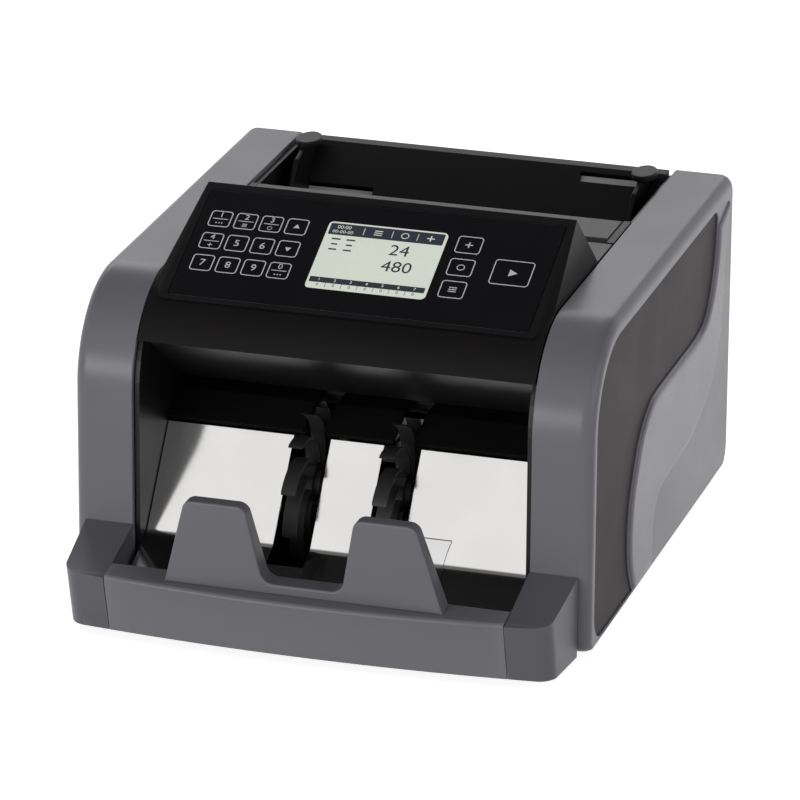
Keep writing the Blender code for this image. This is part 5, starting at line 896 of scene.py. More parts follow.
def side_shell(side):
    """A grey side casing with rounded edges, a recess with a soft rim and the swell on its outer face."""
    shells = bpy.context.scene.counter_shells
    edge = shells.edge_round
    small = shells.inner_edge
    rings = [ring("x", side * (BAY_HALF + depth), side_outline(inset)) for depth, inset in eased(small, 3)]
    for inset, depth in eased(edge, 10):
        rings.append(ring("x", side * (CASING_HALF - depth), side_outline(inset, inset * LOW_ROUND_SHARE)))
    shell = loft("side_shell_" + SIDES[side], rings)
    cavity_ends = side * (BAY_HALF - OVERRUN), side * (CASING_HALF - SIDE_WALL)
    cut(shell, prism("cavity", "x", side_outline(HOUSING_WALL), *cavity_ends))
    outline = insert_outline()
    rim = RECESS_RIM
    recess = [ring("x", side * (CASING_HALF - INSERT_RECESS), outline)]
    for i in range(4):
        turn = math.radians(30 * i)
        across = CASING_HALF - rim * math.cos(turn) ** 2
        recess.append(ring("x", side * across, shrink(outline, -rim * (1 - math.cos(turn)))))
    recess.append(ring("x", side * (CASING_HALF + OVERRUN), shrink(outline, -rim)))
    cut(shell, loft("recess", recess))
    outline = swell_outline()
    swell = [ring("x", side * (CASING_HALF - SWELL_HEIGHT), outline)]
    for inset, depth in eased(1.0, 6):
        across = CASING_HALF + SWELL_HEIGHT * (1 - depth)
        swell.append(ring("x", side * across, shrink(outline, SWELL_EDGE * inset)))
    join(shell, loft("swell", swell))
    place(shell, "casing", [finish_of("housing_grey"), finish_of("swell_grey")],
          ["side_housing_" + SIDES[side]], smooth=28.0)
    for face in shell.data.polygons:
        middle = sum((shell.data.vertices[i].co.x for i in face.vertices)) / len(face.vertices)
        if side * middle > CASING_HALF + SEAM / 10:
            face.material_index = 1
    return shell


def side_inlay(side):
    """The dark panel in the recess of a side shell, with a rounded rim."""
    inner = CASING_HALF - INSERT_RECESS + SEAM
    outline = shrink(insert_outline(), SEAM)
    rows = [ring("x", side * inner, outline)]
    edge = 2 * SEAM
    outer = inner + INSERT_THICKNESS
    for inset, depth in eased(edge, 4):
        rows.append(ring("x", side * (outer - depth), shrink(outline, inset)))
    place(loft("side_inlay_" + SIDES[side], rows), "casing", finish_of("insert_grey"),
          ["side_insert_" + SIDES[side]])


class COUNTER_OT_side_shells(bpy.types.Operator):
    """Builds both side shells with their dark inlays"""

    bl_idname = "counter.side_shells"
    bl_label = "Side shells"

    def execute(self, context):
        for side in SIDES:
            side_shell(side)
            side_inlay(side)
        return {"FINISHED"}


def tray_face(across, height):
    """The place of the bowed, leaning front face at a distance from the middle and a height."""
    share = height / TRAY_EDGE_HEIGHT
    reach = TRAY_FOOT_REACH + (TRAY_REACH - TRAY_FOOT_REACH) * share
    bow = TRAY_FOOT_BOW + (TRAY_BOW - TRAY_FOOT_BOW) * share
    return -reach + bow * (across / BAY_HALF) ** 2


def tray_section(across):
    """The cut through the hollow front wall and the shelf behind it, with rounded upper edges."""
    foot = tray_face(across, 0.0)
    edge = tray_face(across, TRAY_EDGE_HEIGHT)
    inner = TRAY_INNER_Y - TRAY_WALL
    shelf_foot = SHELF_TOP - TRAY_WALL
    roof = TRAY_HEIGHT - TRAY_WALL
    front_round = 0.0020
    corners = [(foot, 0.0), (edge, TRAY_EDGE_HEIGHT + front_round / 2), (TRAY_INNER_Y, TRAY_HEIGHT),
               (TRAY_INNER_Y, SHELF_TOP), (SHELF_REAR_Y, SHELF_TOP), (SHELF_REAR_Y, shelf_foot),
               (inner, shelf_foot), (inner, roof), (edge + TRAY_WALL + front_round, TRAY_EDGE_HEIGHT - front_round),
               (foot + TRAY_WALL, 0.0)]
    radii = [0.0, front_round, 0.0012, 0.0014, 0.0006, 0.0, 0.0, 0.0, 0.0, 0.0]
    return round_corners(corners, radii, 5)


def fin_outline():
    """The front view of both fins and the low wall between them."""
    foot = TRAY_HEIGHT - TRAY_WALL / 2
    right = [(FIN_OUTER_FOOT_X, foot), (FIN_OUTER_TOP_X, FIN_HEIGHT), (FIN_INNER_TOP_X, FIN_HEIGHT),
             (FIN_INNER_FOOT_X, FIN_VALLEY_HEIGHT)]
    left = [(-across, up) for across, up in reversed(right)]
    radii = [0.0, FIN_TOP_RADIUS, FIN_TOP_RADIUS, FIN_VALLEY_RADIUS]
    return round_corners(right + left, radii + list(reversed(radii)), 10)


def fin_row(outline, foot_place, top_place, inset):
    """The fins' outline laid on a leaning face, set in from that face."""
    row = []
    for across, up in outline:
        share = (up - TRAY_HEIGHT) / (FIN_HEIGHT - TRAY_HEIGHT)
        row.append((across, foot_place + (top_place - foot_place) * share + inset, up))
    return row


class COUNTER_OT_front_tray(bpy.types.Operator):
    """Builds the bowed front tray with its two fins"""

    bl_idname = "counter.front_tray"
    bl_label = "Front tray"

    def execute(self, context):
        half = BAY_HALF - SEAM
        sections = 40
        rings = []
        for i in range(sections + 1):
            across = half * (2 * i / sections - 1)
            rings.append(ring("x", across, tray_section(across)))
        tray = loft("tray_front", rings)
        outline = fin_outline()
        edge = context.scene.counter_shells.fin_edge
        back_foot = TRAY_INNER_Y - SEAM
        rows = []
        for ends, way in (((FIN_FRONT_FOOT_Y, FIN_FRONT_TOP_Y), 1), ((back_foot, FIN_BACK_TOP_Y), -1)):
            part = [fin_row(shrink(outline, inset), *ends, way * depth) for depth, inset in eased(edge, 4)]
            rows += part if way > 0 else list(reversed(part))
        join(tray, loft("fins", rows))
        place(tray, "casing", finish_of("housing_grey"), ["front_tray"], smooth=32.0)
        return {"FINISHED"}


def cap_plan(side, height, inset):
    """The plan of an end cap at a height, drawn in by an inset."""
    corner_x = CAP_FRONT_X - CAP_CORNER_RADIUS
    centre = (corner_x, tray_face(corner_x, height) + CAP_CORNER_RADIUS)
    outline = [(BAY_HALF, -SEAM), (CAP_REAR_X, -SEAM)]
    outline += arc(centre, (CAP_CORNER_RADIUS, CAP_CORNER_RADIUS), 0, -90, 16)
    for share in (0.75, 0.5, 0.25, 0.0):
        across = BAY_HALF + (corner_x - BAY_HALF) * share
        outline.append((across, tray_face(across, height)))
    return [(side * across, along) for across, along in shrink(outline, inset)]


class COUNTER_OT_end_caps(bpy.types.Operator):
    """Builds the two grey blocks in front of the side shells"""

    bl_idname = "counter.end_caps"
    bl_label = "End caps"

    def execute(self, context):
        for side in SIDES:
            tall = TRAY_HEIGHT + CAP_RISE + OVERRUN
            levels = [tall * i / 8 for i in range(9)]
            rings = [ring("z", level, cap_plan(side, level, 0.0)) for level in levels]
            cap = loft("corner_block_" + SIDES[side], rings)
            rise = CAP_RISE * 0.93
            bend = [(-TRAY_REACH + TRAY_BOW, TRAY_EDGE_HEIGHT), (TRAY_INNER_Y, TRAY_HEIGHT),
                    (OVERRUN, TRAY_HEIGHT + rise * 1.07)]
            line = [(-TRAY_REACH - OVERRUN, TRAY_EDGE_HEIGHT)] + smooth_line(bend, 8)
            above = [(OVERRUN, tall + OVERRUN), (-TRAY_REACH - OVERRUN, tall + OVERRUN)]
            reach = side * (BAY_HALF - OVERRUN), side * (CAP_REAR_X + OVERRUN)
            cut(cap, prism("above", "x", line + above, *reach))
            soften(cap, context.scene.counter_shells.cap_edge, 4, 40.0)
            roof = TRAY_EDGE_HEIGHT - TRAY_WALL
            hollow = [ring("z", height, cap_plan(side, height, TRAY_WALL)) for height in (-OVERRUN, roof)]
            cut(cap, loft("hollow", hollow))
            place(cap, "casing", finish_of("cap_grey"), ["end_cap_" + SIDES[side]], smooth=32.0)
        return {"FINISHED"}


def console_corners(wall):
    """The corners of the console's wedge, or of its inside when a wall is given."""
    slope = console_slope()
    half = CONSOLE_HALF_WIDTH - wall
    corners = []
    for side in SIDES:
        corners.append(slope @ Vector((side * half, -wall * 1.5, -wall)))
        corners.append(slope @ Vector((side * half, wall * 1.5 - CONSOLE_LENGTH, -wall)))
        base_half = BAY_HALF - 2 * SEAM if wall == 0 else half
        base = HOUSING_HEIGHT - HOUSING_WALL / 2 - 1.2 * wall
        brow = BROW_RADIUS - math.sqrt(BROW_RADIUS ** 2 - (base - HOUSING_HEIGHT + BROW_RADIUS) ** 2)
        corners.append(Vector((side * base_half, brow + wall * 2, base)))
        corners.append(Vector((side * base_half, CONSOLE_BACK_Y - wall, base)))
    return corners


def panel_outline():
    """The outline of the membrane panel on the console's slope."""
    centre = (0.0, -PANEL_TOP_MARGIN - PANEL_LENGTH / 2)
    return rounded_box_outline(2 * PANEL_HALF_WIDTH, PANEL_LENGTH, PANEL_CORNER, centre)


class COUNTER_OT_visor(bpy.types.Operator):
    """Builds the black curved visor with the wedge of the console on it"""

    bl_idname = "counter.visor"
    bl_label = "Visor and console"

    def execute(self, context):
        half = BAY_HALF - 2 * SEAM
        steps = context.scene.counter_shells.curve_steps
        centre = (BROW_RADIUS, HOUSING_HEIGHT - BROW_RADIUS)
        lip_angle = 180 - math.degrees(math.asin((VISOR_LIP_HEIGHT - centre[1]) / BROW_RADIUS))
        inner_radius = BROW_RADIUS - HOUSING_WALL
        outer = arc(centre, (BROW_RADIUS, BROW_RADIUS), lip_angle, 90, steps)
        inner = arc(centre, (inner_radius, inner_radius), 90, lip_angle - 3, steps)
        lip = (inner[-1][0] + VISOR_RETURN, inner[-1][1])
        lip_low = (lip[0], outer[0][1])
        deck = [(CONSOLE_BACK_Y, HOUSING_HEIGHT), (CONSOLE_BACK_Y, HOUSING_HEIGHT - HOUSING_WALL)]
        visor = prism("visor_cover", "x", outer + deck + inner + [lip, lip_low], -half, half)
        under = side_outline(HOUSING_WALL - SEAM / 2)
        for side in SIDES:
            cut(visor, prism("notch", "x", under, side * INNER_HALF, side * (BAY_HALF + SEAM)))
        join(visor, soften(hull("wedge", console_corners(0.0)), 0.0007, 4, 20.0))
        cut(visor, hull("inside", console_corners(CONSOLE_WALL)))
        slope = console_slope()
        pocket = prism("pocket", "z", shrink(panel_outline(), -SEAM), -PANEL_THICKNESS - SEAM, OVERRUN)
        pocket.data.transform(slope)
        cut(visor, pocket)
        opening_size = (DISPLAY_WIDTH - DISPLAY_LEDGE, DISPLAY_HEIGHT - DISPLAY_LEDGE)
        opening_outline = rounded_box_outline(*opening_size, DISPLAY_CORNER, (DISPLAY_X, -DISPLAY_DOWN))
        opening = prism("opening", "z", opening_outline, -CONSOLE_WALL - OVERRUN, OVERRUN)
        opening.data.transform(slope)
        cut(visor, opening)
        place(visor, "casing", finish_of("satin_black"), ["front_visor"], smooth=28.0)
        return {"FINISHED"}


def printed_frame(outer, width, low, high):
    """A printed line of a width along the inside of an outline."""
    inner = shrink(outer, width)
    count = len(outer)
    points = []
    for level in (low, high):
        points += ring("z", level, outer) + ring("z", level, inner)
    faces = []
    for i in range(count):
        j = (i + 1) % count
        faces.append((i, j, count + j, count + i))
        faces.append((2 * count + i, 2 * count + j, 3 * count + j, 3 * count + i))
        faces.append((i, j, 2 * count + j, 2 * count + i))
        faces.append((count + i, count + j, 3 * count + j, 3 * count + i))
    return solid("frame", points, faces)


def figures(text, height, centre, low, high):
    """Printed figures of a height round a centre."""
    letters = bpy.data.curves.new("figures", "FONT")
    letters.body = text
    letters.align_x = "CENTER"
    letters.align_y = "CENTER"
    letters.size = height / 0.70
    letters.extrude = (high - low) / 2
    letters.resolution_u = 4
    holder = bpy.data.objects.new("figures", letters)
    bpy.context.scene.collection.objects.link(holder)
    graph = bpy.context.evaluated_depsgraph_get()
    mesh = bpy.data.meshes.new_from_object(holder.evaluated_get(graph))
    bpy.data.objects.remove(holder)
    bpy.data.curves.remove(letters)
    mesh.transform(Matrix.Translation((centre[0], centre[1], (low + high) / 2)))
    piece = bpy.data.objects.new("figures", mesh)
    bpy.context.scene.collection.objects.link(piece)
    return piece


def bar(centre, size, low, high, radius=0.0):
    """A printed bar."""
    corner = radius or min(size) / 4
    return prism("bar", "z", rounded_box_outline(*size, corner, centre, 3), low, high)


def patch(points, low, high):
    """A printed patch with straight sides."""
    return prism("patch", "z", points, low, high)


KEY_COLUMNS = (-0.0748, -0.0626, -0.0504, -0.0382)
KEY_ROWS = (-0.0240, -0.0387, -0.0532)
KEY_FIGURES = (("1", "2", "3", "up"), ("4", "5", "6", "down"), ("7", "8", "9", "0"))
KEY_MARKS = {"1": "dots", "2": "bars", "3": "ring", "4": "plus", "0": "dots"}
KEY_MARK_DROP = 0.0026
KEY_MARK_SHARE = 0.62
SIDE_KEY_X = 0.0437
SIDE_KEY_ROWS = (-0.0240, -0.0388, -0.0533)
SIDE_KEY_SIZE = (0.0119, 0.0111)
START_KEY_X = (0.0584, 0.0770)
START_KEY_DOWN = (-0.0470, -0.0309)


def sign(kind, centre, low, high, share=1.0):
    """A generic printed sign: an arrow, a plus, a ring, dots, bars or a running mark, at a share of its size."""
    x, y = centre
    if kind in ("up", "down", "run"):
        size = share * (0.0017 if kind != "run" else 0.0026)
        turn = {"up": 90, "down": -90, "run": 0}[kind]
        corners = [(x + size * math.cos(math.radians(turn + step)), y + size * math.sin(math.radians(turn + step)))
                   for step in (0, 120, 240)]
        return [patch(corners, low, high)]
    if kind == "plus":
        arm = 0.0018 * share
        half = 0.0003 * share
        steps = ((-arm, -half), (-half, -half), (-half, -arm), (half, -arm), (half, -half), (arm, -half),
                 (arm, half), (half, half), (half, arm), (-half, arm), (-half, half), (-arm, half))
        return [patch([(x + across, y + along) for across, along in steps], low, high)]
    if kind == "ring":
        return [printed_frame(circle(0.0019 * share, 32, centre), 0.0004 * share, low, high)]
    if kind == "dots":
        return [prism("dot", "z", circle(0.0006 * share, 16, (x + step * share, y)), low, high)
                for step in (-0.0022, 0.0, 0.0022)]
    return [bar((x, y + step * share), (0.0038 * share, 0.0005 * share), low, high)
            for step in (-0.0013, 0.0, 0.0013)]


class COUNTER_OT_membrane(bpy.types.Operator):
    """Builds the glossy key panel with its printed keys"""

    bl_idname = "counter.membrane"
    bl_label = "Key panel"

    def execute(self, context):
        show = context.scene.counter_print
        slope = console_slope()
        panel = prism("membrane_panel", "z", panel_outline(), -PANEL_THICKNESS, 0.0, edge=0.00025, steps=3)
        hole_size = (DISPLAY_WIDTH + 2 * SEAM, DISPLAY_HEIGHT + 2 * SEAM)
        hole = rounded_box_outline(*hole_size, DISPLAY_CORNER + SEAM, (DISPLAY_X, -DISPLAY_DOWN))
        cut(panel, prism("hole", "z", hole, -PANEL_THICKNESS - OVERRUN, OVERRUN))
        place(panel, "casing", finish_of("gloss_black"), ["console_panel"], slope, 30.0)
        low = -show.lift
        high = show.lift
        inks = []
        for row, texts in zip(KEY_ROWS, KEY_FIGURES):
            for column, text in zip(KEY_COLUMNS, texts):
                outline = rounded_box_outline(show.key_width, show.key_height, show.key_corner, (column, row), 5)
                inks.append(printed_frame(outline, show.line, low, high))
                if text in KEY_MARKS:
                    inks.append(figures(text, show.figure * 0.8, (column, row + KEY_MARK_DROP), low, high))
                    inks.append(bar((column, row), (show.key_width * 0.7, show.line * 0.8), low, high))
                    inks += sign(KEY_MARKS[text], (column, row - KEY_MARK_DROP), low, high, KEY_MARK_SHARE)
                elif text.isdigit():
                    inks.append(figures(text, show.figure, (column, row), low, high))
                else:
                    inks += sign(text, (column, row), low, high)
        for row, kind in zip(SIDE_KEY_ROWS, ("plus", "ring", "bars")):
            outline = rounded_box_outline(*SIDE_KEY_SIZE, show.key_corner, (SIDE_KEY_X, row), 5)
            inks.append(printed_frame(outline, show.line, low, high))
            inks += sign(kind, (SIDE_KEY_X, row), low, high)
        centre = (sum(START_KEY_X) / 2, sum(START_KEY_DOWN) / 2)
        size = (START_KEY_X[1] - START_KEY_X[0], START_KEY_DOWN[1] - START_KEY_DOWN[0])
        inks.append(printed_frame(rounded_box_outline(*size, show.key_corner, centre, 5), show.line, low, high))
        inks += sign("run", centre, low, high)
        print_piece = fuse("key_print", inks)
        place(print_piece, "casing", finish_of("key_ink"), (), slope)
        return {"FINISHED"}


class COUNTER_OT_display(bpy.types.Operator):
    """Builds the lit display with plain figures and bands"""

    bl_idname = "counter.display"
    bl_label = "Display"

    def execute(self, context):
        show = context.scene.counter_print
        slope = console_slope()
        outline = rounded_box_outline(DISPLAY_WIDTH, DISPLAY_HEIGHT, DISPLAY_CORNER, (DISPLAY_X, -DISPLAY_DOWN))
        window = prism("display_face", "z", outline, -PANEL_THICKNESS, 0.0, edge=0.0002)
        place(window, "casing", finish_of("screen_field"), ["display_window"], slope, 30.0)
        low = -show.lift
        high = show.lift
        top = -DISPLAY_DOWN + DISPLAY_HEIGHT / 2
        left = DISPLAY_X - DISPLAY_WIDTH / 2
        bands = [bar((DISPLAY_X, top - 0.0048), (DISPLAY_WIDTH - 0.0022, 0.0074), low, high / 2, 0.0006)]
        foot = top - DISPLAY_HEIGHT
        bands.append(bar((DISPLAY_X, foot + 0.0056), (DISPLAY_WIDTH - 0.0022, 0.0032), low, high / 2, 0.0004))
        place(fuse("display_bands", bands), "casing", finish_of("screen_band"), (), slope)
        pale = [figures("00:00", 0.0021, (left + 0.0078, top - 0.0034), high / 3, high),
                figures("00-00-00", 0.0019, (left + 0.0078, top - 0.0064), high / 3, high)]
        for x in (0.0175, 0.0310, 0.0430):
            pale.append(bar((left + x, top - 0.0048), (0.0003, 0.0044), high / 3, high))
        for x, kind in ((0.0243, "bars"), (0.0370, "ring"), (0.0492, "plus")):
            pale += sign(kind, (left + x, top - 0.0048), high / 3, high)
        for i in range(7):
            pale.append(figures(str(i + 1), 0.0017, (left + 0.0056 + i * 0.0075, foot + 0.0056), high / 3, high))
        place(fuse("display_pale_print", pale), "casing", finish_of("screen_pale"), (), slope)
        dark = [figures("24", 0.0068, (left + 0.0370, top - 0.0150), low, high),
                figures("480", 0.0068, (left + 0.0385, top - 0.0256), low, high)]
        for i, share in enumerate((1.0, 0.7, 0.9)):
            for x in (0.0060, 0.0130):
                width = 0.0042 * share
                dark.append(bar((left + x, top - 0.0112 - i * 0.0034), (width, 0.0009), low, high))
        cells = [left + 0.0018 + i * 0.0075 for i in range(8)]
        for x in cells[1:-1]:
            dark.append(bar((x, foot + 0.0024), (0.0002, 0.0030), low, high))
        dark.append(bar((DISPLAY_X, foot + 0.0039), (DISPLAY_WIDTH - 0.0022, 0.00025), low, high))
        for i in range(7):
            dark.append(figures("0", 0.0017, (left + 0.0056 + i * 0.0075, foot + 0.0023), low, high))
        place(fuse("display_figures", dark), "casing", finish_of("screen_ink"), (), slope)
        return {"FINISHED"}


class COUNTER_OT_deck(bpy.types.Operator):
    """Builds the deck behind the console, the hopper lip, its end strips and the knob"""

    bl_idname = "counter.deck"
    bl_label = "Deck and hopper lip"

    def execute(self, context):
        half = BAY_HALF - 2 * SEAM
        front = CONSOLE_BACK_Y + SEAM
        corners = [(DECK_REAR_Y, HOUSING_HEIGHT - DECK_SKIRT), (DECK_REAR_Y, HOUSING_HEIGHT), (front, HOUSING_HEIGHT)]
        line = round_corners(corners, [0.0, LIP_EDGE_RADIUS, 0.0], 10)
        deck = prism("deck_cover", "x", sheet(line, HOUSING_WALL), -half, half, edge=THIN_EDGE)
        hole_ends = HOUSING_HEIGHT - HOUSING_WALL - OVERRUN, HOUSING_HEIGHT + OVERRUN
        cut(deck, spindle("hole", "z", [(end, SCREW_RADIUS + SEAM) for end in hole_ends], 32, (0.0, KNOB_Y)))
        skirt_low = HOUSING_HEIGHT - DECK_SKIRT - OVERRUN
        for side in SIDES:
            plate = sorted((side * (BAY_HALF - PLATE_THICKNESS - 2 * SEAM), side * BAY_HALF))
            notch_low = (plate[0], DECK_REAR_Y - HOUSING_WALL - OVERRUN, skirt_low)
            cut(deck, box("notch", notch_low, (plate[1], DECK_REAR_Y + OVERRUN, HOUSING_HEIGHT - HOUSING_WALL)))
        place(deck, "casing", finish_of("deck_grey"), ["top_deck"], smooth=30.0)
        low = HOUSING_HEIGHT - LIP_SKIRT
        corners = [(LIP_REAR_Y, low), (LIP_REAR_Y, HOUSING_HEIGHT), (LIP_FRONT_Y, HOUSING_HEIGHT), (LIP_FRONT_Y, low)]
        line = round_corners(corners, [0.0, LIP_EDGE_RADIUS, LIP_EDGE_RADIUS, 0.0], 12)
        lip = prism("lip_cover", "x", sheet(line, HOUSING_WALL), -LIP_HALF_WIDTH, LIP_HALF_WIDTH, edge=THIN_EDGE)
        place(lip, "casing", finish_of("deck_grey"), ["hopper_lip"], smooth=30.0)
        for side in SIDES:
            inner = side * (LIP_HALF_WIDTH + SEAM)
            outer = side * (BAY_HALF - 2 * SEAM)
            strip = rounded_box_outline(LIP_REAR_Y - DECK_REAR_Y - SEAM, HOUSING_WALL - 2 * SEAM, HOUSING_WALL / 4,
                                        ((LIP_REAR_Y + DECK_REAR_Y) / 2, HOUSING_HEIGHT - HOUSING_WALL / 2 - SEAM / 2))
            piece = prism("lip_strip_" + SIDES[side], "x", strip, inner, outer, edge=THIN_EDGE)
            place(piece, "casing", finish_of("satin_black"))
        outline = []
        for i in range(8 * KNOB_FLUTES):
            turn = 2 * math.pi * i / (8 * KNOB_FLUTES)
            radius = KNOB_RADIUS - KNOB_FLUTE_DEPTH * (0.5 + 0.5 * math.cos(KNOB_FLUTES * turn)) ** 2
            outline.append((radius * math.cos(turn), radius * math.sin(turn)))
        base = HOUSING_HEIGHT + SEAM
        top = base + KNOB_HEIGHT
        rows = [ring("z", base, shrink(outline, KNOB_FOOT_EDGE)), ring("z", base + KNOB_FOOT_EDGE, outline)]
        for inset, depth in eased(TOP_EDGE, 4):
            rows.append(ring("z", top - depth, shrink(outline, inset)))
        rows.append(ring("z", top, shrink(outline, KNOB_RIM)))
        rows.append(ring("z", top - KNOB_DISH, shrink(outline, KNOB_DISH_RIM)))
        knob = loft("knob_cap", rows)
        screw_ends = PATH_LEVEL + KNOB_SCREW_FOOT, base + TOP_EDGE
        join(knob, spindle("screw", "z", [(end, SCREW_RADIUS) for end in screw_ends], 32))
        place(knob, "knob", finish_of("satin_black"), ["gap_knob"],
              Matrix.Translation((0.0, KNOB_Y, 0.0)), 30.0)
        mark = bar((0.0, KNOB_MARK_Y), KNOB_MARK_SIZE, top - KNOB_MARK_LEVELS[0], top - KNOB_MARK_LEVELS[1])
        place(fuse("knob_mark", [mark]), "knob", finish_of("key_ink"), (),
              Matrix.Translation((0.0, KNOB_Y, 0.0)))
        return {"FINISHED"}


FEED_SHARE = 0.6060
FEED_PROUD = 0.0016
FEED_RADIUS = 0.0180
FEED_X = 0.0220
FEED_WIDTH = 0.0150
PICKUP_X = 0.0290
PICKUP_WIDTH = 0.0130
RETARD_RADIUS = 0.0090
RETARD_WIDTH = 0.0120
RETARD_AXLE_RADIUS = 0.0020
RETARD_GAP = 0.0006
RETARD_LEAD = 0.0030
PICKUP_RADIUS = 0.0140
PICKUP_PROUD = 0.0012
PITCH_RADIUS = 0.0072
TOOTH_DEDENDUM = 0.0010
RACK_BACK = 0.0030
RACK_CLEARANCE = 0.0016
RACK_HEAD_CLEARANCE = 0.0015
HOPPER_WALL = 0.0025
STEM_LENGTH = 0.0040
GUIDE_LIFT = 0.0008
RACK_OUTER = PITCH_RADIUS + TOOTH_DEDENDUM + RACK_BACK
PINION_UP = PICKUP_RADIUS + RACK_CLEARANCE + RACK_OUTER
FEED_PLANE_LENGTH = math.hypot(FEED_PLANE_RUN, FEED_PLANE_RISE)
FEED_PLANE_TILT = math.degrees(math.atan2(FEED_PLANE_RISE, FEED_PLANE_RUN))
PICKUP_DISTANCE = FEED_PLANE_LENGTH - RACK_HEAD_CLEARANCE - RACK_OUTER - PINION_UP


def hopper_point(run_share, rise_share):
    """A place over the feed plane, as shares of the way from its foot to its head."""
    return (FEED_PLANE_FOOT[0] + FEED_PLANE_RUN * run_share, FEED_PLANE_FOOT[1] + FEED_PLANE_RISE * rise_share)


def feed_plane():
    """The frame of the feed plane: its Y runs up the slope and its Z stands into the hopper."""
    share = PICKUP_DISTANCE / FEED_PLANE_LENGTH
    origin = Matrix.Translation((0.0, *hopper_point(share, share)))
    return origin @ Matrix.Rotation(math.radians(FEED_PLANE_TILT), 4, "X")


class COUNTER_OT_hopper(bpy.types.Operator):
    """Builds the two sliding guides of the hopper with their thumb pads"""

    bl_idname = "counter.hopper"
    bl_label = "Hopper guides"

    def execute(self, context):
        for side in SIDES:
            inner = side * GUIDE_X
            outer = side * (GUIDE_X + GUIDE_THICKNESS)
            lift = Vector((-FEED_PLANE_RISE, FEED_PLANE_RUN)) * (GUIDE_LIFT / FEED_PLANE_LENGTH)
            corners = [Vector(hopper_point(share, share)) + lift for share in (0.19, 0.96)]
            corners.append(Vector((corners[-1].x, PAD_BASE + PAD_THICKNESS / 4)))
            corners += [Vector(hopper_point(*shares)) for shares in GUIDE_TOP_SHARES]
            radii = [0.0, 0.0, 0.0, PAD_THICKNESS, PAD_LENGTH / 3, PAD_LENGTH / 3, 0.0]
            blade = prism("guide_blade_" + SIDES[side], "x", round_corners(corners, radii, 10), inner, outer,
                          edge=0.0005)
            middle = side * (GUIDE_X + GUIDE_THICKNESS / 2)
            unit = circle(0.5, 48)
            pad_plan = [(middle + PAD_WIDTH * across, PAD_Y + PAD_LENGTH * along) for across, along in unit]
            rows = [ring("z", PAD_BASE, shrink(pad_plan, PAD_FOOT_EDGE)), ring("z", PAD_BASE + PAD_FOOT_EDGE, pad_plan)]
            for inset, depth in eased(TOP_EDGE, 4):
                rows.append(ring("z", PAD_BASE + PAD_THICKNESS - depth, shrink(pad_plan, inset)))
            join(blade, loft("pad", rows))
            up = PINION_UP + side * (PITCH_RADIUS + TOOTH_DEDENDUM + RACK_BACK / 2)
            ends = sorted((inner, outer))
            stem_low = (ends[0], up - STEM_LENGTH / 2, -HOPPER_WALL)
            stem = box("stem", stem_low, (ends[1], up + STEM_LENGTH / 2, STEM_LENGTH))
            stem.data.transform(feed_plane())
            join(blade, stem)
            place(blade, SIDES[side] + "_guide", finish_of("satin_black"),
                  ["hopper_guide_" + SIDES[side]], smooth=30.0)
        return {"FINISHED"}


def blade_line(start_turn, offset, reach, steps):
    """One edge of a curved blade, from the hub out to a reach."""
    edge = []
    for i in range(steps + 1):
        radius = WHEEL_HUB_RADIUS + (reach - WHEEL_HUB_RADIUS) * i / steps
        share = (radius - WHEEL_HUB_RADIUS) / (WHEEL_RADIUS - WHEEL_HUB_RADIUS)
        turn = start_turn + math.radians(BLADE_SWEEP) * share ** 1.3 + offset / radius
        edge.append((radius * math.cos(turn), radius * math.sin(turn)))
    return edge


def stacker_wheel(side):
    """A rubber wheel with swept blades on a short hub."""
    outline = []
    half_blade = BLADE_THICKNESS / 2
    for blade in range(WHEEL_BLADES):
        start = 2 * math.pi * blade / WHEEL_BLADES
        low, high = (blade_line(start, way * half_blade, WHEEL_RADIUS - half_blade, 20) for way in (-1, 1))
        outline += low + list(reversed(high))
    half = WHEEL_WIDTH / 2
    wheel = prism("wheel_" + SIDES[side], "x", outline, -half, half, edge=0.0003, steps=2)
    for end, radius, change in ((half + HUB_PROUD, HUB_RADIUS, join), (half + 2 * OVERRUN, SHAFT_RADIUS + SEAM, cut)):
        change(wheel, spindle("hub", "x", [(-end, radius), (end, radius)], 48))
    place(wheel, "stacker", finish_of("rubber"), ["stacker_wheel_" + SIDES[side]],
          Matrix.Translation((side * WHEEL_X, *STACKER_AXIS)), 30.0)


class COUNTER_OT_stacker(bpy.types.Operator):
    """Builds the bladed wheels, the polished plate and the clear stops"""

    bl_idname = "counter.stacker"
    bl_label = "Stacker"

    def execute(self, context):
        line = round_corners([STACK_TOP, STACK_BEND, STACK_FRONT], [0.0, STACK_BEND_RADIUS, 0.0], 24)
        plate = prism("landing_plate", "x", sheet(line, STACK_THICKNESS), -INNER_HALF, INNER_HALF)
        for side in SIDES:
            low = (side * WHEEL_X - STACK_SLOT_WIDTH / 2, 0.0, SHELF_TOP)
            high = (side * WHEEL_X + STACK_SLOT_WIDTH / 2, 2 * STACK_TOP[0], STACK_TOP[1] + OVERRUN)
            cut(plate, box("slot", low, high))
            stacker_wheel(side)
            reaches = zip(STOP_REACHES, STOP_RISES)
            stop_line = smooth_line([(TRAY_INNER_Y + reach, TRAY_HEIGHT + rise) for reach, rise in reaches], 10)
            ends = side * STOP_INNER_X, side * STOP_OUTER_X
            stop = prism("clear_stop_" + SIDES[side], "x", sheet(stop_line, -STOP_THICKNESS), *ends)
            place(stop, "casing", finish_of("clear_plastic"), ["note_stop_" + SIDES[side]])
        soften(plate, 0.0002, 2, 50.0)
        place(plate, "casing", finish_of("mirror_steel"), ["stacker_plate"], smooth=25.0)
        return {"FINISHED"}


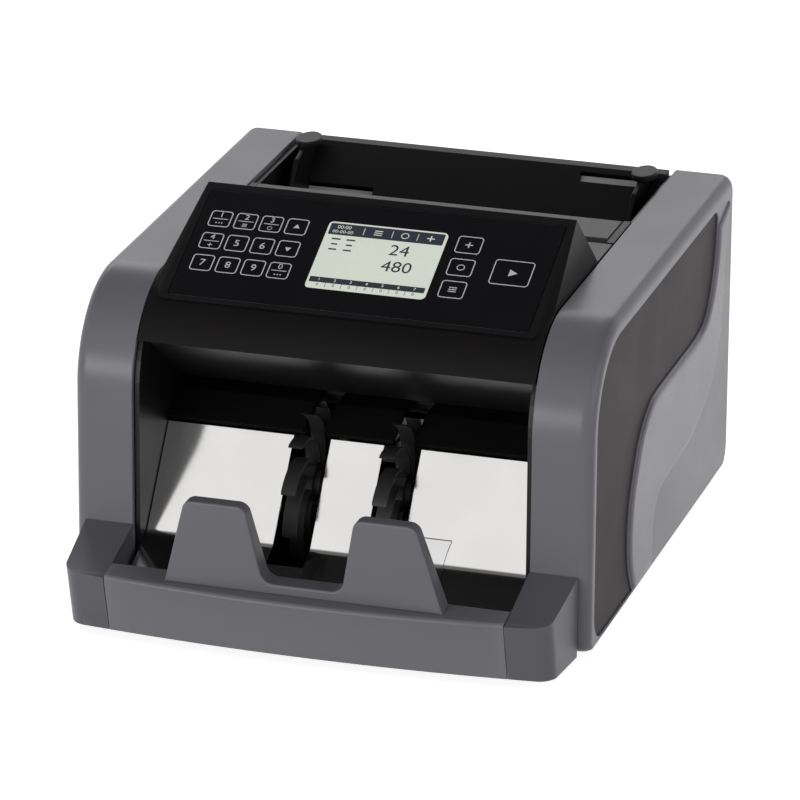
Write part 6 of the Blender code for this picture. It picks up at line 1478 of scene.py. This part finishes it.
def ribbed_tyre(name, body, node, across, centre, width, radius, bore, ribs):
    """A rubber roller with fine ribs along its tread and a dished hub."""
    half = width / 2
    points = []
    faces = []
    turns = 4 * ribs
    depth = 0.0004
    hub = bore + 0.0025
    shoulder = max(radius - 0.0040, hub + 0.0003)
    dish = half - 0.0025
    profile = [(-half, bore, 0), (-half, hub, 0), (-dish, hub, 0), (-dish, shoulder, 0), (-half, shoulder, 0),
               (-half, radius - 0.0003, 1), (0.0003 - half, radius, 1), (half - 0.0003, radius, 1),
               (half, radius - 0.0003, 1), (half, shoulder, 0), (dish, shoulder, 0), (dish, hub, 0), (half, hub, 0),
               (half, bore, 0)]
    for i in range(turns):
        turn = 2 * math.pi * i / turns
        low = depth if i % 4 in (0, 3) else 0.0
        for along, reach, ribbed in profile:
            reach -= low * ribbed
            points.append((along, reach * math.cos(turn), reach * math.sin(turn)))
    count = len(profile)
    for i in range(turns):
        here = i * count
        there = (i + 1) % turns * count
        for j in range(count):
            k = (j + 1) % count
            faces.append((here + j, here + k, there + k, there + j))
    tyre = solid(name, points, faces)
    place(tyre, body, finish_of("feed_rubber"), [node], Matrix.Translation((across, *centre)), 25.0)


class COUNTER_OT_rollers(bpy.types.Operator):
    """Builds the ribbed rubber rollers of the feed"""

    bl_idname = "counter.rollers"
    bl_label = "Rollers"

    def execute(self, context):
        feed = (HOUSING_DEPTH * FEED_SHARE, PATH_LEVEL + FEED_PROUD - FEED_RADIUS)
        pickup = feed_plane() @ Vector((0.0, 0.0, PICKUP_PROUD - PICKUP_RADIUS))
        reach = FEED_RADIUS + RETARD_GAP + RETARD_RADIUS
        retard = (feed[0] + RETARD_LEAD, feed[1] + math.sqrt(reach ** 2 - RETARD_LEAD ** 2))
        for side in SIDES:
            hand = SIDES[side]
            ribbed_tyre("feed_tyre_" + hand, "feed", "feed_roller_" + hand, side * FEED_X, feed, FEED_WIDTH,
                        FEED_RADIUS, SHAFT_RADIUS + SEAM, 48)
            ribbed_tyre("pickup_tyre_" + hand, "pickup", "pickup_roller_" + hand, side * PICKUP_X,
                        (pickup.y, pickup.z), PICKUP_WIDTH, PICKUP_RADIUS, SHAFT_RADIUS + SEAM, 36)
            ribbed_tyre("retard_tyre_" + hand, "retard_" + hand, "retard_roller_" + hand, side * FEED_X, retard,
                        RETARD_WIDTH, RETARD_RADIUS, RETARD_AXLE_RADIUS + SEAM, 24)
        return {"FINISHED"}


def cross_screw(centre, radius, rise):
    """A domed screw head with a cross in it, facing the back."""
    x, z = centre
    stations = [(REAR_FACE_Y - 0.0006, radius)]
    for i in range(5):
        turn = math.radians(18 * i)
        stations.append((REAR_FACE_Y + rise * math.sin(turn) * 0.95, radius * math.cos(turn * 0.72)))
    head = spindle("screw", "y", stations, 32, (x, z))
    reach = radius * 0.62
    thin = radius * 0.13
    for half_x, half_z in ((reach, thin), (thin, reach)):
        cut(head, box("cross", (x - half_x, REAR_FACE_Y + rise * 0.35, z - half_z),
                      (x + half_x, REAR_FACE_Y + 2 * rise, z + half_z)))
    return head


class COUNTER_OT_rear(bpy.types.Operator):
    """Builds the screws, the inlet's pins and the marks of the power switch at the back"""

    bl_idname = "counter.rear"
    bl_label = "Rear details"

    def execute(self, context):
        levels = (REAR_SCREW_LEVEL, PANEL_TOP - REAR_SCREW_DROP)
        places = [(side * (INNER_HALF - REAR_SCREW_INSET), up) for side in SIDES for up in levels]
        screws = fuse("rear_screws", [cross_screw(spot, REAR_SCREW_RADIUS, REAR_SCREW_RISE) for spot in places])
        place(screws, "casing", finish_of("plain_steel"))
        inlet_x = BAY_HALF - INLET_INSET
        floor = REAR_FACE_Y + SEAM + INLET_RIM - INLET_DEPTH
        pins = []
        for step, way in ((-1, -1), (0, 1), (1, -1)):
            centre = (inlet_x + step * PIN_STEP, INLET_LEVEL + way * PIN_RISE)
            outline = rounded_box_outline(*PIN_SIZE, PIN_EDGE, centre, 4)
            pins.append(prism("pin", "y", outline, floor + PIN_FOOT, floor + PIN_LENGTH, edge=PIN_EDGE))
        place(fuse("inlet_pins", pins), "casing", finish_of("plain_steel"))
        switch_x = inlet_x - SWITCH_STEP
        pivot = (REAR_FACE_Y + SEAM - ROCKER_DEPTH / 2, INLET_LEVEL)
        front = ROCKER_DEPTH / 2 + ROCKER_PROUD
        half_height = SWITCH_HEIGHT / 2 - SWITCH_RIM - ROCKER_ROOM
        lean = math.radians(ROCKER_LEAN)
        root = Vector((0.0, front * math.cos(lean), front * math.sin(lean)))
        marks = []
        for way, kind in ((1, "ring"), (-1, "line")):
            slant = lean - way * lean
            up = Vector((0.0, -math.sin(slant), math.cos(slant)))
            out = Vector((0.0, math.cos(slant), math.sin(slant)))
            spot = root + up * (way * half_height / math.cos(lean) / 2)
            spot += Vector((switch_x, pivot[0], pivot[1]))
            turn = Matrix(((-1.0, up.x, out.x, spot.x), (0.0, up.y, out.y, spot.y), (0.0, up.z, out.z, spot.z),
                           (0.0, 0.0, 0.0, 1.0)))
            if kind == "ring":
                mark = printed_frame(circle(0.0014, 32), 0.0004, -0.0001, 0.0001)
            else:
                mark = bar((0.0, 0.0), (0.0005, 0.0030), -0.0001, 0.0001)
            mark.data.transform(turn)
            marks.append(mark)
        place(fuse("rocker_marks", marks), "rocker", finish_of("key_ink"))
        return {"FINISHED"}


class COUNTER_OT_finishes(bpy.types.Operator):
    """Gives every piece that stays from the frame its finish"""

    bl_idname = "counter.finishes"
    bl_label = "Finishes"

    def execute(self, context):
        slots = {row["node"]: row["material_slot"] for row in frame["record"]["subparts"]}
        for name, piece in frame["nodes"].items():
            if piece.hide_render:
                continue
            piece.data.materials.clear()
            piece.data.materials.append(finish_of(slots[name]))
            piece.data.shade_smooth()
            piece.data.set_sharp_from_angle(angle=math.radians(30.0))
        return {"FINISHED"}


FLOOR_SPREAD = 12.0
FLOOR_TONE = 0.80
FLOOR_GLOW = 0.84
WHITE_LIMIT = 0.40
DIM_LIMIT = 0.60
FRONT_WHITE_RISE = 0.80
OVERHEAD = 0.16
LAMP_TARGET = (0.0, 0.0, 0.08)
LAMPS = {
    "key": ((-0.5, 2.0, 1.45), (2.2, 0.9)),
    "side": ((2.1, -0.2, 0.7), (1.2, 1.1)),
    "front": ((-0.75, -2.3, 0.42), (1.5, 0.6)),
}
CAMERA_PLACE = (0.76140, -2.51866, 1.07155)
CAMERA_YAW = 16.795
CAMERA_ELEVATION = 20.706
CAMERA_ROLL = 0.386
SENSOR_WIDTH = 36.0


def aim(holder, spot, target):
    """Sets an object at a spot, looking at a target."""
    holder.location = spot
    holder.rotation_mode = "QUATERNION"
    holder.rotation_quaternion = (Vector(target) - Vector(spot)).to_track_quat("-Z", "Y")


def area_lamp(name, spot, target, size, power):
    """A soft rectangular lamp."""
    lamp = bpy.data.lights.new(name, "AREA")
    lamp.shape = "RECTANGLE"
    lamp.size, lamp.size_y = size
    lamp.energy = power
    holder = bpy.data.objects.new(name, lamp)
    bpy.context.scene.collection.objects.link(holder)
    aim(holder, spot, target)
    return holder


def set_floor():
    """A plain pale floor that shows white where no shadow falls."""
    reach = FLOOR_SPREAD
    mesh = bpy.data.meshes.new("floor")
    mesh.from_pydata([(-reach, -reach, 0.0), (reach, -reach, 0.0), (reach, reach, 0.0), (-reach, reach, 0.0)], [],
                     [(0, 1, 2, 3)])
    floor = bpy.data.objects.new("floor", mesh)
    bpy.context.scene.collection.objects.link(floor)
    made, tree, shader = new_material("floor_white")
    shader.inputs["Base Color"].default_value = (FLOOR_TONE, FLOOR_TONE, FLOOR_TONE, 1.0)
    shader.inputs["Roughness"].default_value = 0.9
    shader.inputs["Specular IOR Level"].default_value = 0.1
    shader.inputs["Emission Color"].default_value = (1.0, 1.0, 1.0, 1.0)
    path = add(tree, "LightPath")
    seen = add(tree, "Math", {0: path.outputs["Is Camera Ray"], 1: path.outputs["Is Glossy Ray"]},
               operation="MAXIMUM").outputs[0]
    both = add(tree, "Math", {0: seen, 1: path.outputs["Is Transmission Ray"]}, operation="MAXIMUM").outputs[0]
    level = add(tree, "Math", {0: both, 1: FLOOR_GLOW}, operation="MULTIPLY").outputs[0]
    tree.links.new(level, shader.inputs["Emission Strength"])
    mesh.materials.append(made)


def set_world(level):
    """White round the object that turns dim overhead, and an even light from all sides."""
    world = bpy.data.worlds.new("studio")
    bpy.context.scene.world = world
    world.use_nodes = True
    tree = world.node_tree
    tree.nodes.clear()
    leave = tree.nodes.new("ShaderNodeOutputWorld")
    heading = add(tree, "SeparateXYZ", {"Vector": add(tree, "TexCoord").outputs["Generated"]})
    up = heading.outputs["Z"]
    ahead = add(tree, "Math", {0: heading.outputs["Y"], 1: 0.0}, operation="MINIMUM").outputs[0]
    raised = add(tree, "Math", {0: ahead, 1: FRONT_WHITE_RISE, 2: up}, operation="MULTIPLY_ADD").outputs[0]
    dim = add(tree, "MapRange", {"Value": raised, "From Min": WHITE_LIMIT, "From Max": DIM_LIMIT}).outputs["Result"]
    seen_shade = mix_colour(tree, dim, (1.0, 1.0, 1.0, 1.0), (OVERHEAD, OVERHEAD, OVERHEAD, 1.0))
    light = add(tree, "Background", {"Color": (0.95, 0.96, 1.0, 1.0), "Strength": level})
    plain = add(tree, "Background", {"Color": seen_shade, "Strength": 1.0})
    path = add(tree, "LightPath")
    seen = add(tree, "Math", {0: path.outputs["Is Camera Ray"], 1: path.outputs["Is Glossy Ray"]},
               operation="MAXIMUM").outputs[0]
    both = add(tree, "Math", {0: seen, 1: path.outputs["Is Transmission Ray"]}, operation="MAXIMUM").outputs[0]
    blend = tree.nodes.new("ShaderNodeMixShader")
    tree.links.new(both, blend.inputs[0])
    tree.links.new(light.outputs[0], blend.inputs[1])
    tree.links.new(plain.outputs[0], blend.inputs[2])
    tree.links.new(blend.outputs[0], leave.inputs["Surface"])


def set_camera(lens):
    """The camera at the place from which the machine is seen."""
    data = bpy.data.cameras.new("camera")
    data.lens = lens
    data.sensor_width = SENSOR_WIDTH
    data.sensor_fit = "HORIZONTAL"
    data.clip_start = 0.1
    data.clip_end = 60.0
    camera = bpy.data.objects.new("camera", data)
    bpy.context.scene.collection.objects.link(camera)
    yaw = math.radians(CAMERA_YAW)
    lift = math.radians(CAMERA_ELEVATION)
    right = Vector((math.cos(yaw), math.sin(yaw), 0.0))
    forward = Vector((-math.sin(yaw) * math.cos(lift), math.cos(yaw) * math.cos(lift), -math.sin(lift)))
    up = right.cross(forward)
    turn = Matrix.Rotation(math.radians(CAMERA_ROLL), 3, -forward)
    right = turn @ right
    up = turn @ up
    columns = Matrix((right, up, -forward)).transposed()
    camera.matrix_world = Matrix.Translation(CAMERA_PLACE) @ columns.to_4x4()
    bpy.context.scene.camera = camera


class COUNTER_OT_stage(bpy.types.Operator):
    """Sets up the floor, the lamps, the surround and the camera"""

    bl_idname = "counter.stage"
    bl_label = "Stage"

    def execute(self, context):
        stage = context.scene.counter_stage
        set_floor()
        set_world(stage.surround)
        for name, (spot, size) in LAMPS.items():
            area_lamp(name + "_lamp", spot, LAMP_TARGET, size, getattr(stage, name))
        set_camera(stage.lens)
        context.scene.view_settings.view_transform = "Standard"
        return {"FINISHED"}


class COUNTER_PT_panel(bpy.types.Panel):
    """The tools of this add-on in the sidebar"""

    bl_label = "Banknote counter"
    bl_idname = "COUNTER_PT_panel"
    bl_space_type = "VIEW_3D"
    bl_region_type = "UI"
    bl_category = "Counter"

    def draw(self, context):
        layout = self.layout
        for title, group in (("Colours", "counter_tones"), ("Shells", "counter_shells"),
                             ("Print", "counter_print"), ("Stage", "counter_stage")):
            layout.label(text=title)
            settings = getattr(context.scene, group)
            for name in settings.__annotations__:
                layout.prop(settings, name)
        for operator in OPERATORS:
            layout.operator(operator.bl_idname)


GROUPS = {"counter_tones": CounterTones, "counter_shells": CounterShells, "counter_print": CounterPrint,
          "counter_stage": CounterStage}
OPERATORS = (COUNTER_OT_side_shells, COUNTER_OT_front_tray, COUNTER_OT_end_caps, COUNTER_OT_visor,
             COUNTER_OT_membrane, COUNTER_OT_display, COUNTER_OT_deck, COUNTER_OT_hopper, COUNTER_OT_stacker,
             COUNTER_OT_rollers, COUNTER_OT_rear, COUNTER_OT_finishes, COUNTER_OT_stage)


def register():
    for group in GROUPS.values():
        bpy.utils.register_class(group)
    for name, group in GROUPS.items():
        setattr(bpy.types.Scene, name, PointerProperty(type=group))
    for operator in OPERATORS:
        bpy.utils.register_class(operator)
    bpy.utils.register_class(COUNTER_PT_panel)


def unregister():
    bpy.utils.unregister_class(COUNTER_PT_panel)
    for operator in reversed(OPERATORS):
        bpy.utils.unregister_class(operator)
    for name in GROUPS:
        delattr(bpy.types.Scene, name)
    for group in reversed(GROUPS.values()):
        bpy.utils.unregister_class(group)


def main():
    """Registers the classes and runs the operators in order."""
    register()
    for operator in OPERATORS:
        family, name = operator.bl_idname.split(".")
        getattr(getattr(bpy.ops, family), name)()


if __name__ == "__main__":
    main()
